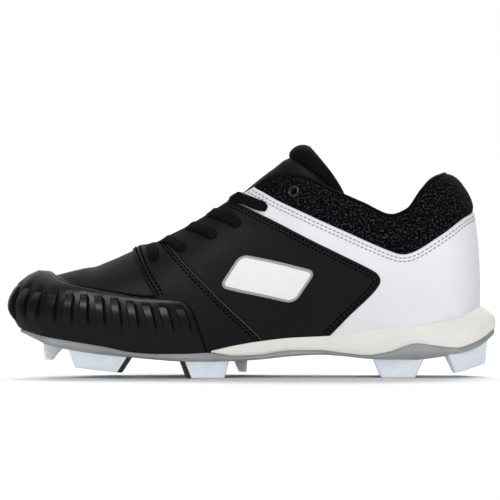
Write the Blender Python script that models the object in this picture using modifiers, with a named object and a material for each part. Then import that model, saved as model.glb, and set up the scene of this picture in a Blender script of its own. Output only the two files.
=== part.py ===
"""A right softball shoe with moulded studs, as an assembly of its real pieces.

The last is one function of two coordinates. The girth coordinate u runs along each side from the
toe to the heel: it is x along the body, and turns round a pivot in the toe and in the heel. The
rise coordinate s runs up each section, from the feather edge to the throat, collar or crest.
Sole, upper and overlays are all worked out from it. Toe at -X, inner side at -Y, floor at z = 0.
"""

import math

import bmesh
import bpy
import numpy as np
from mathutils import Vector

MM = 0.001
GAP = 0.3
MEDIAL, LATERAL = -1, 1
SIDE_NAMES = {MEDIAL: "medial", LATERAL: "lateral"}

# Driving sizes of the last, in millimetres.
TOE_TIP = (-139.0, -9.0)
HEEL_BACK = (134.4, 0.0)
TOE_PIVOT_X = -95.0
TOE_FAN_RADIUS = 40.0
HEEL_PIVOT_X = 100.0
HEEL_FAN_RADIUS = 33.0
TOE_U = TOE_PIVOT_X - TOE_FAN_RADIUS * math.pi / 2
HEEL_U = HEEL_PIVOT_X + HEEL_FAN_RADIUS * math.pi / 2
THROAT_FRONT_X = -64.0
THROAT_ROUNDING = 9.0
THROAT_OPEN_X = -44.0

# Wall and overlay thicknesses.
WALL = 2.2
COLLAR_PAD = 3.8
OUTER_COLLAR_DROP = 2.8
OVERLAY = 1.2
GUARD_WALL = 2.4
RIB_HEIGHT = 1.3
INSOLE = 3.5
WEDGE_FRONT_X = -24.0

# Plan of the last from above: how far each side stands from the middle line.
PLAN_COLUMNS = ("x", "medial", "lateral")
PLAN = (
    (-125, -33.0, 14.0),
    (-112, -40.0, 25.0),
    (-84, -45.3, 38.0),
    (-65, -46.6, 43.5),
    (-40, -44.6, 46.6),
    (-16, -38.6, 46.2),
    (11, -33.0, 43.5),
    (39, -30.5, 39.6),
    (66, -31.0, 36.2),
    (93, -32.3, 33.8),
    (112.5, -29.6, 30.3),
    (126, -19.5, 20.0),
)

# Middle line of the last: the crest over the toes lies towards the inner side.
CREST_COLUMNS = ("x", "y")
CREST = ((-140, -6.0), (-95, -5.0), (-40, -1.5), (10, 0.0), (140, 0.0))

# Sections of the upper by girth coordinate. The lower wall tucks in under its widest line and flares
# at a share of its height. Above it the section passes by a shoulder, a drop below the edge, and
# ends at the edge of the throat or collar, or on the crest where the vamp is closed.
SECTION_COLUMNS = ("u", "tuck", "flare", "share", "edge_z", "edge_reach", "shoulder", "drop")
SECTIONS = (
    (-157.8, 8.0, 14.0, 0.69, 64.3, 9.0, 30.0, 7.0),
    (-126.0, 5.0, 9.0, 0.60, 64.3, 9.0, 28.0, 2.8),
    (-95.0, 2.5, 5.0, 0.50, 64.3, 9.0, 26.0, 0.0),
    (-84.0, 2.1, 4.8, 0.48, 67.9, 9.0, 25.6, 0.0),
    (-66.0, 1.5, 4.5, 0.45, 75.8, 9.0, 25.0, 0.0),
    (-45.0, 1.5, 4.0, 0.42, 83.4, 9.8, 32.0, 10.0),
    (-30.0, 1.5, 4.0, 0.42, 91.9, 11.0, 32.0, 15.0),
    (-12.0, 1.5, 4.0, 0.42, 103.4, 12.5, 30.5, 20.0),
    (1.0, 1.5, 3.5, 0.42, 111.4, 13.5, 29.5, 23.0),
    (11.0, 1.5, 3.5, 0.43, 118.0, 14.5, 29.5, 23.5),
    (20.0, 1.5, 3.0, 0.44, 120.2, 16.5, 31.5, 19.0),
    (28.0, 1.5, 3.0, 0.45, 119.4, 19.5, 35.5, 12.0),
    (36.0, 1.5, 3.0, 0.45, 116.5, 22.5, 37.5, 5.0),
    (49.0, 1.5, 3.0, 0.45, 110.0, 25.0, 38.0, 1.8),
    (66.0, 1.5, 3.0, 0.46, 102.5, 26.5, 38.5, 1.0),
    (82.0, 1.5, 3.0, 0.46, 96.2, 27.0, 38.0, 1.0),
    (91.0, 1.5, 3.0, 0.47, 100.4, 26.5, 38.5, 1.0),
    (100.0, 1.5, 3.0, 0.48, 112.5, 25.0, 38.0, 1.0),
    (115.0, 1.5, 3.0, 0.50, 118.2, 20.5, 35.5, 1.0),
    (133.0, 1.5, 2.4, 0.50, 119.8, 14.5, 32.5, 0.6),
    (151.8, 1.5, 1.6, 0.50, 120.0, 11.0, 30.0, 0.0),
)

# Levels of the sole along its length: underside of the plate, the line between plate and foam
# wedge, the floor under the foot, and the rim of the foam wedge.
SOLE_COLUMNS = ("x", "under", "joint", "floor", "rim")
SOLE = (
    (-143, 28.2, 30.6, 30.6, 31.0),
    (-131, 24.0, 26.8, 26.8, 27.2),
    (-121, 19.8, 24.2, 24.2, 24.6),
    (-107, 16.6, 21.9, 21.9, 22.3),
    (-87, 13.9, 18.8, 18.8, 19.2),
    (-70, 12.3, 15.5, 15.5, 15.9),
    (-56, 11.0, 14.6, 14.6, 15.0),
    (-42, 10.0, 14.6, 14.6, 15.0),
    (-26, 9.8, 15.0, 15.4, 16.2),
    (-10, 10.0, 13.0, 16.6, 19.4),
    (3, 10.7, 13.4, 18.2, 21.5),
    (23, 12.6, 16.0, 20.4, 23.7),
    (40, 13.5, 16.0, 21.8, 24.5),
    (53, 12.7, 14.5, 22.8, 25.5),
    (68, 11.2, 13.2, 23.8, 27.8),
    (80, 10.7, 15.2, 24.6, 29.4),
    (97, 10.7, 20.2, 25.4, 31.4),
    (106, 11.6, 19.1, 25.8, 32.6),
    (121, 14.2, 17.6, 26.2, 35.2),
    (129, 16.2, 19.8, 26.4, 39.4),
    (136, 19.4, 23.2, 26.6, 41.8),
    (143, 25.6, 28.5, 30.0, 42.0),
)

# How far the side of the sole stands outside the widest line of the last.
SOLE_EDGE_COLUMNS = ("u", "flare")
SOLE_EDGE = (
    (-157.8, -2.2),
    (-126, -0.8),
    (-95, 0.8),
    (-66, 1.6),
    (0, 1.6),
    (60, 2.2),
    (100, 4.0),
    (126, 6.9),
    (151.8, 9.0),
)
PLATE_TUCK = 3.4

# Side view of the seams and panel edges, in x and z.
GUARD_TOP_COLUMNS = ("x", "z")
GUARD_TOP = (
    (-139, 67.2),
    (-118, 62.4),
    (-115, 60.3),
    (-109, 57.0),
    (-99, 54.2),
    (-89, 52.6),
    (-79, 51.2),
    (-70, 49.8),
    (-60, 49.0),
    (-50, 48.5),
    (-36, 47.2),
)
GUARD_END_U = -27.0
GUARD_END_LEAN = 10.0
GUARD_EASE = 0.3
RIB_PITCH = 10.6
RIB_WIDTH = 5.3
RIB_SLOPE = 1.1
RIBS_PER_SIDE = 12
RIB_SPAN_COLUMNS = ("u", "low", "high")
RIB_SPAN = ((-157.8, 0.18, 0.58), (-126, 0.21, 0.68), (-95, 0.26, 0.78), (-27, 0.33, 0.80))

# Extra rubber on the guard round the tip of the toe, by height: a bumper above and a full chin below.
TOE_FILL_COLUMNS = ("z", "fill")
TOE_FILL = (
    (27, 1.8),
    (32, 2.9),
    (37, 2.6),
    (42, 1.7),
    (47, 0.5),
    (52, 0.7),
    (57, 1.7),
    (61, 1.7),
    (66, 1.4),
)
TOE_FILL_U = (-152.0, -122.0)

BAND_FRONT = ((-71.0, 80.0), (-69.4, 72.0), (-58.6, 50.8))
BAND_GUARD = ((-52, 50.2), (-35.0, 48.4), (-25.2, 16.6))
BAND_BACK = ((6.0, 22.6), (-18.9, 46.0), (-27.1, 54.3), (-37.3, 64.5), (-46.8, 74.8), (-54.0, 84.0))
SADDLE_FRONT = ((-53.5, 84.0), (-46.2, 75.2), (-36.7, 65.0), (-26.5, 54.8), (-18.3, 46.5), (6.6, 23.2))
SADDLE_BACK = (
    (46.5, 25.3),
    (58.0, 37.1),
    (68.0, 46.5),
    (74.6, 53.6),
    (75.8, 57.2),
    (74.6, 60.4),
    (69.4, 64.0),
)
SADDLE_TOP = ((53.4, 72.2), (32.9, 82.2), (16.4, 90.5), (-12.0, 103.9), (-14.6, 107.7))
HEEL_PANEL_TOP = (
    (0.8, 114.4),
    (1.4, 111.6),
    (16.4, 103.4),
    (57.5, 84.9),
    (74.0, 77.5),
    (83.0, 73.9),
    (88.0, 72.5),
    (93.0, 73.4),
    (99.0, 76.2),
    (111.2, 83.8),
    (123.5, 92.5),
    (131.0, 97.9),
    (140.0, 97.9),
)
BADGE_CENTRE = (9.0, 58.0)
BADGE_LENGTH = 46.0
BADGE_HEIGHT = 22.0
BADGE_CORNER = 5.0
BADGE_TURN = -12.0
BADGE_LEAN = 0.4
BADGE_CORNER_STEPS = 3
BADGE_RISE = 1.0

# Eyelets on each side, from the toe up, in x and z of the side view.
EYELETS = ((-57.4, 70.2), (-41.7, 75.6), (-24.0, 83.6), (-10.0, 90.8), (5.6, 100.0), (24.6, 109.3))
LACED_ROWS = 5
EYELET_HOLE = 2.2
EYELET_RING = 2.9
EYELET_WIRE = 0.75
LACE_WIDTH = 6.6
LACE_THICKNESS = 1.5

# Each laced row from the toe up: how far in front of its eyelet the lace passes over the edge of the
# throat, and over the middle of the tongue.
LACE_EDGE = (4.5, 11.0, 14.0, 15.0, 17.0)
LACE_MIDDLE = (5.5, 12.5, 17.0, 19.0, 21.0)
LACE_END_BEHIND_X = -58.0
LACE_BAR_LIFT = 1.0
LACE_SAG = 2.4
LACE_OVER = (0.2, 0.5, 0.6, 0.9, 0.9)
LACE_UNDER = (0.2, 0.5, 0.5, 0.0, 0.0)
LACE_END_DROP = 1.5

# Tongue by rows from the vamp to its bound top: middle point, lean of the section, half width,
# how far the wings wrap back, and thickness.
TONGUE_COLUMNS = ("x", "z", "lean", "half_width", "wrap", "thickness")
TONGUE = (
    (-66.0, 71.0, 0, 13.0, 7.0, 2.4),
    (-58.0, 74.6, 0, 15.0, 8.0, 3.4),
    (-50.0, 78.6, 0, 17.0, 9.0, 3.8),
    (-30.0, 90.0, 0, 18.0, 11.0, 4.0),
    (-10.0, 104.4, 4, 19.0, 17.0, 4.0),
    (5.0, 116.8, 14, 19.0, 26.5, 4.4),
    (14.0, 123.4, 30, 19.5, 34.0, 5.0),
    (20.6, 129.2, 38, 20.0, 35.0, 6.0),
    (22.4, 132.6, 41, 21.5, 34.5, 9.5),
    (25.2, 135.6, 42, 22.0, 34.5, 9.5),
    (28.8, 137.3, 41, 21.6, 34.0, 7.5),
    (32.4, 136.8, 39, 20.4, 31.5, 3.2),
)
TONGUE_ARC = 75.0

# Blades and studs: side, top and bottom ends along the girth, inset of the middle from the plate's
# edge, width at the top and bottom, and level of the foot at the two ends.
CLEAT_COLUMNS = (
    "name", "side", "top_0", "top_1", "foot_0", "foot_1", "inset", "wide", "thin", "z_0", "z_1",
)
CLEATS = (
    ("front_medial", MEDIAL, -111.0, -69.2, -106.6, -75.6, 8.0, 8.5, 5.0, 6.4, 3.2),
    ("front_lateral", LATERAL, -105.0, -70.0, -101.0, -77.0, 8.0, 8.5, 5.0, 6.2, 3.4),
    ("mid_medial", MEDIAL, -43.4, -13.2, -39.2, -16.0, 8.0, 9.0, 5.5, 0.0, 0.0),
    ("mid_lateral", LATERAL, -44.0, -15.4, -37.5, -18.2, 8.0, 9.0, 5.5, 0.0, 0.0),
    ("waist_lateral", LATERAL, -12.0, -2.4, -7.8, -3.2, 9.0, 9.0, 5.0, 1.4, 1.4),
    ("heel_medial", MEDIAL, 70.4, 101.2, 75.6, 96.0, 8.5, 9.0, 5.5, 0.0, 0.0),
    ("heel_lateral", LATERAL, 70.4, 101.2, 75.6, 96.0, 8.5, 9.0, 5.5, 0.0, 0.0),
    ("rear_medial", MEDIAL, 115.0, 146.5, 120.5, 146.0, 6.6, 7.2, 4.8, 2.8, 7.6),
    ("rear_lateral", LATERAL, 115.0, 146.5, 120.5, 146.0, 6.6, 7.2, 4.8, 2.8, 7.6),
)
TOE_STUD_TOP = ((-123.2, -110.0), (-11.0, 5.0))
TOE_STUD_FOOT = ((-121.8, -117.0), (-8.0, 2.0))
TOE_STUD_Z = 9.9
CLEAT_STEPS = 4
CLEAT_TOP_GAP = 0.45

# Grids that the lofts follow.
TOE_FAN_STEPS = 9
HEEL_FAN_STEPS = 5
VAMP_U = (-88.0, -80.0, -73.0, -67.0, THROAT_FRONT_X)
THROAT_U = (-63.0, -60.0, -54.0, -46.0, -38.0, -29.0, -20.0, -10.0, 0.0, 10.0, 20.0)
COLLAR_U = (28.0, 36.0, 45.0, 55.0, 65.0, 75.0, 84.0, 92.0)
RISE = (0.0, 0.11, 0.24, 0.37, 0.5, 0.63, 0.75, 0.86, 0.94, 1.0)
GUARD_RISE = (0.0, 0.11, 0.24, 0.37, 0.5, 0.63, 1.0)

# Colours (linear) and roughness of the materials.
FINISHES = {
    "black_leather": ((0.012, 0.012, 0.013), 0.42),
    "black_rubber": ((0.010, 0.010, 0.011), 0.38),
    "black_textile": ((0.008, 0.008, 0.009), 0.85),
    "white_leather": ((0.78, 0.79, 0.80), 0.45),
    "white_foam": ((0.80, 0.79, 0.77), 0.6),
    "grey_plate": ((0.30, 0.31, 0.32), 0.45),
    "pale_stud": ((0.62, 0.70, 0.80), 0.3),
}


def values(table, names, name):
    """One named column of a table."""
    return np.array([row[names.index(name)] for row in table], float)


def smooth(xs, ys):
    """A smooth function through the points that never overshoots between two of them."""
    steps = np.diff(xs)
    slopes = np.diff(ys) / steps
    tangents = np.concatenate([slopes[:1], np.zeros(len(xs) - 2), slopes[-1:]])
    for i in range(1, len(xs) - 1):
        before, after = slopes[i - 1], slopes[i]
        if before * after > 0:
            tangents[i] = 2 * before * after / (before + after)

    def evaluate(x):
        x = np.clip(np.asarray(x, float), xs[0], xs[-1])
        i = np.clip(np.searchsorted(xs, x) - 1, 0, len(steps) - 1)
        t = (x - xs[i]) / steps[i]
        rise = ys[i + 1] - ys[i]
        ease = t * t * (3 - 2 * t)
        start = t * (1 - t) ** 2 * steps[i] * tangents[i]
        end = t * t * (t - 1) * steps[i] * tangents[i + 1]
        return ys[i] + rise * ease + start + end

    return evaluate


def table_curve(table, names, key, name):
    return smooth(values(table, names, key), values(table, names, name))


def spline_through(points, per_span):
    """Points along a round curve through a list of points, left open at its two end spans."""
    p = np.array(points, float)
    t = np.concatenate([[0], np.cumsum(np.linalg.norm(np.diff(p, axis=0), axis=1))])
    found = []
    for i in range(1, len(p) - 2):
        span = t[i + 1] - t[i]
        m0 = (p[i + 1] - p[i - 1]) / (t[i + 1] - t[i - 1]) * span
        m1 = (p[i + 2] - p[i]) / (t[i + 2] - t[i]) * span
        for k in np.arange(per_span) / per_span:
            ease = k * k * (3 - 2 * k)
            found.append(p[i] + (p[i + 1] - p[i]) * ease + m0 * k * (1 - k) ** 2 + m1 * k * k * (k - 1))
    found.append(p[-2])
    return np.array(found)


def outline(side):
    """The widest line of the last on one side, from past the toe tip to past the heel."""
    own = SIDE_NAMES[side]
    other = SIDE_NAMES[-side]
    xs = values(PLAN, PLAN_COLUMNS, "x")
    near = list(zip(xs, values(PLAN, PLAN_COLUMNS, own)))
    far = list(zip(xs, values(PLAN, PLAN_COLUMNS, other)))
    return spline_through([far[1], far[0], TOE_TIP, *near, HEEL_BACK, far[-1], far[-2]], 12)


OUTLINES = {side: outline(side) for side in (MEDIAL, LATERAL)}
crest_y = table_curve(CREST, CREST_COLUMNS, "x", "y")
section = {n: table_curve(SECTIONS, SECTION_COLUMNS, "u", n) for n in SECTION_COLUMNS[1:]}
level = {n: table_curve(SOLE, SOLE_COLUMNS, "x", n) for n in SOLE_COLUMNS[1:]}
sole_flare = table_curve(SOLE_EDGE, SOLE_EDGE_COLUMNS, "u", "flare")
guard_top = table_curve(GUARD_TOP, GUARD_TOP_COLUMNS, "x", "z")
toe_fill = table_curve(TOE_FILL, TOE_FILL_COLUMNS, "z", "fill")
rib_span = {n: table_curve(RIB_SPAN, RIB_SPAN_COLUMNS, "u", n) for n in RIB_SPAN_COLUMNS[1:]}


def ease(value, start, end):
    t = np.clip((np.asarray(value, float) - start) / (end - start), 0, 1)
    return t * t * (3 - 2 * t)


def columns(side, u):
    """Foot, direction in plan and reach of the upright section planes at girth u."""
    u = np.asarray(u, float)
    toe_turn = np.clip(TOE_PIVOT_X - u, 0, None) / TOE_FAN_RADIUS
    heel_turn = np.clip(u - HEEL_PIVOT_X, 0, None) / HEEL_FAN_RADIUS
    foot_x = np.clip(u, TOE_PIVOT_X, HEEL_PIVOT_X)
    foot_y = crest_y(foot_x)
    dir_x = np.sin(heel_turn) - np.sin(toe_turn)
    dir_y = side * np.cos(heel_turn + toe_turn)
    line = OUTLINES[side]
    body = line[(line[:, 0] > TOE_PIVOT_X - 20) & (line[:, 1] * side > 10)]
    reach = side * (np.interp(foot_x, body[:, 0], body[:, 1]) - foot_y)
    for turn, pivot_x, sign in ((toe_turn, TOE_PIVOT_X, -1), (heel_turn, HEEL_PIVOT_X, 1)):
        arc = line - np.array([pivot_x, crest_y(pivot_x)])
        arc = arc[arc[:, 0] * sign > -15]
        bearing = np.arctan2(arc[:, 0] * sign, arc[:, 1] * side)
        order = np.argsort(bearing)
        fan_reach = np.interp(turn, bearing[order], np.linalg.norm(arc, axis=1)[order])
        reach = np.where(turn > 0, fan_reach, reach)
    return foot_x, foot_y, dir_x, dir_y, reach


def throat_opening(u):
    """0 over the closed vamp, rising round the front of the throat to 1 behind it."""
    run = np.clip((np.asarray(u, float) - THROAT_FRONT_X) / THROAT_ROUNDING, 0, 1)
    return np.sqrt(1 - (1 - run) ** 2)


def outer_drop(side, u):
    """How much lower the collar lies under the outer ankle bone than on the inner side."""
    return (side == LATERAL) * OUTER_COLLAR_DROP * ease(u, 24, 60) * (1 - ease(u, 100, 145))


def bow(t, p_0, p_1, p_2, p_3):
    """A section's curve between its two ends, drawn by four points."""
    return (1 - t) ** 3 * p_0 + 3 * t * (1 - t) ** 2 * p_1 + 3 * t * t * (1 - t) * p_2 + t**3 * p_3


def bow_slope(t, p_0, p_1, p_2, p_3):
    return 3 * ((1 - t) ** 2 * (p_1 - p_0) + 2 * t * (1 - t) * (p_2 - p_1) + t * t * (p_3 - p_2))


def last(side, u, s):
    """Points of the outside of the upper at girth u and rise s.

    Round the front of the throat the closed vamp is cut back along its own curve, and eases into
    the open section behind it.
    """
    u, s = np.broadcast_arrays(np.asarray(u, float), np.asarray(s, float))
    foot_x, foot_y, dir_x, dir_y, reach = columns(side, u)
    feather_z = level["floor"](foot_x + dir_x * reach) + GAP
    edge_z = section["edge_z"](u) - outer_drop(side, u)
    edge_r = section["edge_reach"](u) * throat_opening(u)
    height = edge_z - feather_z
    r = (reach - section["tuck"](u), reach + section["flare"](u), section["shoulder"](u))
    z = (feather_z, feather_z + section["share"](u) * height, edge_z - section["drop"](u), edge_z)
    cut = 1 - edge_r / (3 * r[2])
    for _ in range(4):
        cut = cut - (bow(cut, *r, 0) - edge_r) / bow_slope(cut, *r, 0)
    opened = ease(u, THROAT_FRONT_X, THROAT_OPEN_X)
    radius = (1 - opened) * bow(cut * s, *r, 0) + opened * bow(s, *r, edge_r)
    rise = (1 - opened) * bow(cut * s, *z) + opened * bow(s, *z)
    return np.stack([foot_x + dir_x * radius, foot_y + dir_y * radius, rise], axis=-1)


def normals(side, u, s):
    """Outward unit normals of the last."""
    u, s = np.broadcast_arrays(np.asarray(u, float), np.asarray(s, float))
    u = np.where((s > 0.999) & (u < TOE_PIVOT_X), TOE_PIVOT_X, u)
    near_front = (u <= THROAT_FRONT_X) & (u > THROAT_FRONT_X - 1)
    low = np.where(u > THROAT_FRONT_X, np.maximum(u - 0.5, THROAT_FRONT_X + 1e-3), u - 0.5)
    high = np.where(near_front, u, u + 0.5)
    along = last(side, high, s) - last(side, low, s)
    up = last(side, u, np.minimum(s + 0.004, 1)) - last(side, u, np.maximum(s - 0.004, 0))
    found = np.cross(along, up) * -side
    on_crest = (s > 0.999) & (u <= THROAT_FRONT_X)
    ridge = np.stack([-along[..., 2], 0 * s, along[..., 0]], axis=-1)
    found = np.where(on_crest[..., None], ridge, found)
    return found / np.linalg.norm(found, axis=-1, keepdims=True)


def skin(side, u, s, offset):
    """The last grown outwards by an offset."""
    return last(side, u, s) + normals(side, u, s) * np.asarray(offset)[..., None]


def rise_at(side, u, z):
    """The rise s at which each section passes a height z."""
    fine = np.linspace(0, 1, 161)
    u = np.atleast_1d(np.asarray(u, float))
    heights = last(side, u[:, None], fine)[..., 2]
    return np.array([np.interp(h, row, fine) for h, row in zip(np.broadcast_to(z, u.shape), heights)])


def wall_depth(u, s):
    """Thickness of the upper: thin leather, with foam round the collar."""
    u, s = np.broadcast_arrays(np.asarray(u, float), np.asarray(s, float))
    padded = ease(u, 14, 40) * ease(s, 0.45, 0.75) * (1 - 0.85 * ease(s, 0.86, 1.0))
    return WALL + COLLAR_PAD * padded - 0.7 * ease(u, 14, 40) * ease(s, 0.9, 1.0)


def collection(name, hidden=False):
    made = bpy.data.collections.new(name)
    bpy.context.scene.collection.children.link(made)
    made.hide_render = hidden
    return made


def material(name):
    found = bpy.data.materials.get(name)
    if found:
        return found
    made = bpy.data.materials.new(name)
    made.use_nodes = True
    colour, roughness = FINISHES[name]
    shader = made.node_tree.nodes["Principled BSDF"]
    shader.inputs["Base Color"].default_value = (*colour, 1)
    shader.inputs["Roughness"].default_value = roughness
    shader.inputs["Metallic"].default_value = 0.0
    return made


def add_object(name, mesh, finish=None, where=None):
    made = bpy.data.objects.new(name, mesh)
    (where or PARTS).objects.link(made)
    if finish:
        mesh.materials.append(material(finish))
    return made


def mesh_from(name, points, faces):
    """A welded mesh in metres from millimetre points and the faces between them."""
    bm = bmesh.new()
    corners = [bm.verts.new(np.asarray(p) * MM) for p in points]
    for face in faces:
        loop = [corners[i] for i in dict.fromkeys(face)]
        if len(loop) > 2 and not bm.faces.get(loop):
            bm.faces.new(loop)
    bmesh.ops.remove_doubles(bm, verts=bm.verts, dist=2e-6)
    bmesh.ops.dissolve_degenerate(bm, edges=bm.edges, dist=1e-6)
    bmesh.ops.recalc_face_normals(bm, faces=bm.faces)
    mesh = bpy.data.meshes.new(name)
    bm.to_mesh(mesh)
    bm.free()
    mesh.shade_smooth()
    mesh.set_sharp_from_angle(angle=math.radians(40))
    return mesh


def loft(name, rings, ring_closed, ends_joined, finish=None, where=None, skip=(), turned=math.inf):
    """Skins rows of points. Each row may be a closed ring, and the last row may join the first.

    The diagonals turn the other way from the point number turned on, so that the inside of one
    wall has the same facets as the outside of the wall beneath it.
    """
    rows, count = len(rings), len(rings[0])
    points = np.concatenate([np.asarray(r, float) for r in rings])
    faces = []
    for i in range(rows if ends_joined else rows - 1):
        for j in range(count if ring_closed else count - 1):
            if (i, j) not in skip:
                a, b = i * count, (i + 1) % rows * count
                k = (j + 1) % count
                if j < turned:
                    faces += [(a + j, b + j, b + k), (a + j, b + k, a + k)]
                else:
                    faces += [(a + j, b + j, a + k), (b + j, b + k, a + k)]
    if not ends_joined:
        faces.append(tuple(range(count)))
        faces.append(tuple((rows - 1) * count + j for j in reversed(range(count))))
    return add_object(name, mesh_from(name, points, faces), finish, where)


def girth_grid():
    toe = np.linspace(TOE_U, TOE_PIVOT_X, TOE_FAN_STEPS + 1)
    heel = np.linspace(HEEL_PIVOT_X, HEEL_U, HEEL_FAN_STEPS + 1)
    return np.concatenate([toe, VAMP_U, THROAT_U, COLLAR_U, heel])


def ring_of(u):
    """Girth coordinates right round the shoe: the inner side to the heel, then the outer side back."""
    return [(MEDIAL, x) for x in u] + [(LATERAL, x) for x in u[-2:0:-1]]


def shell(name, inner, outer, finish=None, where=None):
    """The wall between two offsets of the last, open at the throat, the collar and underneath."""
    around = ring_of(girth_grid())
    rise = np.array(RISE)
    rings = []
    for side, u in around:
        outside = skin(side, u, rise, outer(u, rise))
        inside = skin(side, u, rise, inner(u, rise))
        rings.append(np.concatenate([outside, inside[::-1]]))
    edge = len(rise) - 1
    closed = [u <= THROAT_FRONT_X for _, u in around]
    count = len(around)
    skip = {(i, edge) for i in range(count) if closed[i] and closed[(i + 1) % count]}
    return loft(name, rings, True, True, finish, where, skip, turned=len(rise))


def prism(name, corners, y_low, y_high):
    """An outline of the side view, extruded across the shoe as a cutter."""
    curve = bpy.data.curves.new(name, "CURVE")
    curve.dimensions = "2D"
    curve.fill_mode = "BOTH"
    curve.extrude = (y_high - y_low) / 2 * MM
    line = curve.splines.new("POLY")
    line.points.add(len(corners) - 1)
    for point, (x, z) in zip(line.points, corners):
        point.co = (x * MM, z * MM, 0, 1)
    line.use_cyclic_u = True
    made = add_object(name, curve, where=CUTTERS)
    made.rotation_euler = (math.pi / 2, 0, 0)
    made.location = (0, (y_low + y_high) / 2 * MM, 0)
    return as_mesh(made)


def as_mesh(obj):
    """A curve object turned into a welded mesh object of the same name and place."""
    bpy.context.view_layer.update()
    graph = bpy.context.evaluated_depsgraph_get()
    mesh = bpy.data.meshes.new_from_object(obj.evaluated_get(graph))
    bm = bmesh.new()
    bm.from_mesh(mesh)
    bmesh.ops.remove_doubles(bm, verts=bm.verts, dist=1e-6)
    bmesh.ops.recalc_face_normals(bm, faces=bm.faces)
    bm.to_mesh(mesh)
    bm.free()
    name, matrix = obj.name, obj.matrix_world.copy()
    bpy.data.objects.remove(obj)
    made = add_object(name, mesh, where=CUTTERS)
    made.matrix_world = matrix
    return hide_cutter(made)


def hide_cutter(obj):
    obj.hide_render = True
    obj.display_type = "WIRE"
    return obj


def boolean(obj, other, operation):
    cut = obj.modifiers.new(f"{operation.lower()} {other.name}", "BOOLEAN")
    cut.operation = operation
    cut.solver = "EXACT"
    cut.object = other


def overlay(name, corners, finish, y_low, y_high, base=GAP, thickness=OVERLAY):
    """A panel cut out of the wall between two offsets of the upper."""
    made = shell(name, lambda u, s: base + 0 * s, lambda u, s: base + thickness + 0 * s, finish)
    boolean(made, prism(f"{name}_outline", corners, y_low, y_high), "INTERSECT")
    return made


def sole_point(side, u, outset, z=None, surface=None):
    """A point at an outset from the widest line, at a height or on a named level of the sole."""
    foot_x, foot_y, dir_x, dir_y, reach = columns(side, u)
    r = reach + outset if outset is not None else 0.0
    x, y = foot_x + dir_x * r, foot_y + dir_y * r
    return np.array([x, y, level[surface](x) if surface else z])


def build_outsole():
    """The moulded plate: full length, thin at the waist and rising in a wave at the heel."""
    rings = []
    for side, u in ring_of(girth_grid()):
        flare = float(sole_flare(u))
        shallow = -min(PLATE_TUCK, 2.0 + abs(u) / 60)
        low = sole_point(side, u, flare + shallow, surface="under")
        top = sole_point(side, u, flare - 0.7, surface="joint")
        wall = sole_point(side, u, flare - 0.4, z=low[2] + 0.55 * (top[2] - low[2]))
        inside_low = sole_point(side, u, -16.0, surface="under")
        inside_top = sole_point(side, u, -16.0, surface="joint")
        centre_low = sole_point(side, u, None, surface="under")
        centre_top = sole_point(side, u, None, surface="joint")
        rings.append([centre_low, inside_low, low, wall, top, inside_top, centre_top])
    return loft("outsole_plate", rings, False, True, "grey_plate")


def build_midsole():
    """The foam wedge: a cup that the heel of the upper sits in."""
    grid = girth_grid()
    grid = np.concatenate([[WEDGE_FRONT_X], grid[grid > WEDGE_FRONT_X + 2]])
    around = [(MEDIAL, x) for x in grid] + [(LATERAL, x) for x in grid[-2::-1]]
    rings = []
    for side, u in around:
        flare = float(sole_flare(u))
        rim_z = float(level["rim"](sole_point(side, u, 0.0, z=0)[0]))
        rim_s = rise_at(side, u, rim_z)[0]
        foot = sole_point(side, u, flare - 0.7, surface="joint") + (0, 0, GAP)
        inner = [skin(side, u, k * rim_s, GAP) for k in (1.0, 0.5, 0.0)]
        floor_z = float(level["floor"](inner[2][0]))
        inner[2][2] = floor_z
        lip = skin(side, u, rim_s, GAP + 1.8)
        lip[2] = rim_z - 0.2
        drop = lip[2] - foot[2]
        belly = sole_point(side, u, flare, z=foot[2] + 0.22 * drop)
        shoulder = sole_point(side, u, flare * 0.8 + 0.3, z=foot[2] + 0.62 * drop)
        centre_foot = sole_point(side, u, None, surface="joint") + (0, 0, GAP)
        middle_foot = sole_point(side, u, -16.0, surface="joint") + (0, 0, GAP)
        middle_floor = sole_point(side, u, -16.0, surface="floor")
        centre_floor = sole_point(side, u, None, surface="floor")
        cup = [centre_floor, middle_floor, *inner[::-1]]
        rings.append([*cup, lip, shoulder, belly, foot, middle_foot, centre_foot])
    return loft_with_front("midsole", rings, "white_foam")


def loft_with_front(name, rings, finish):
    """A loft of half sections whose first and last rows close one straight front face."""
    rows, count = len(rings), len(rings[0])
    points = np.concatenate([np.asarray(r, float) for r in rings])
    faces = []
    for i in range(rows - 1):
        for j in range(count - 1):
            a, b = i * count, (i + 1) * count
            faces += [(a + j, b + j, b + j + 1), (a + j, b + j + 1, a + j + 1)]
    last_row = (rows - 1) * count
    for j in range(count - 1):
        faces.append((j, j + 1, last_row + j + 1, last_row + j))
    return add_object(name, mesh_from(name, points, faces), finish)


def build_insole():
    """The sock that lies on the floor of the shoe."""
    rings = []
    for side, u in ring_of(girth_grid()):
        edge = -float(section["tuck"](u)) - WALL - 0.9
        low = sole_point(side, u, edge, surface="floor") + (0, 0, GAP)
        top = sole_point(side, u, edge, surface="floor") + (0, 0, INSOLE)
        dish = sole_point(side, u, edge - 7.0, surface="floor") + (0, 0, INSOLE - 1.0)
        centre_low = sole_point(side, u, None, surface="floor") + (0, 0, GAP)
        centre_top = sole_point(side, u, None, surface="floor") + (0, 0, INSOLE - 1.0)
        rings.append([centre_low, low, top, dish, centre_top])
    return loft("insole", rings, False, True, "black_textile")


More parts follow.
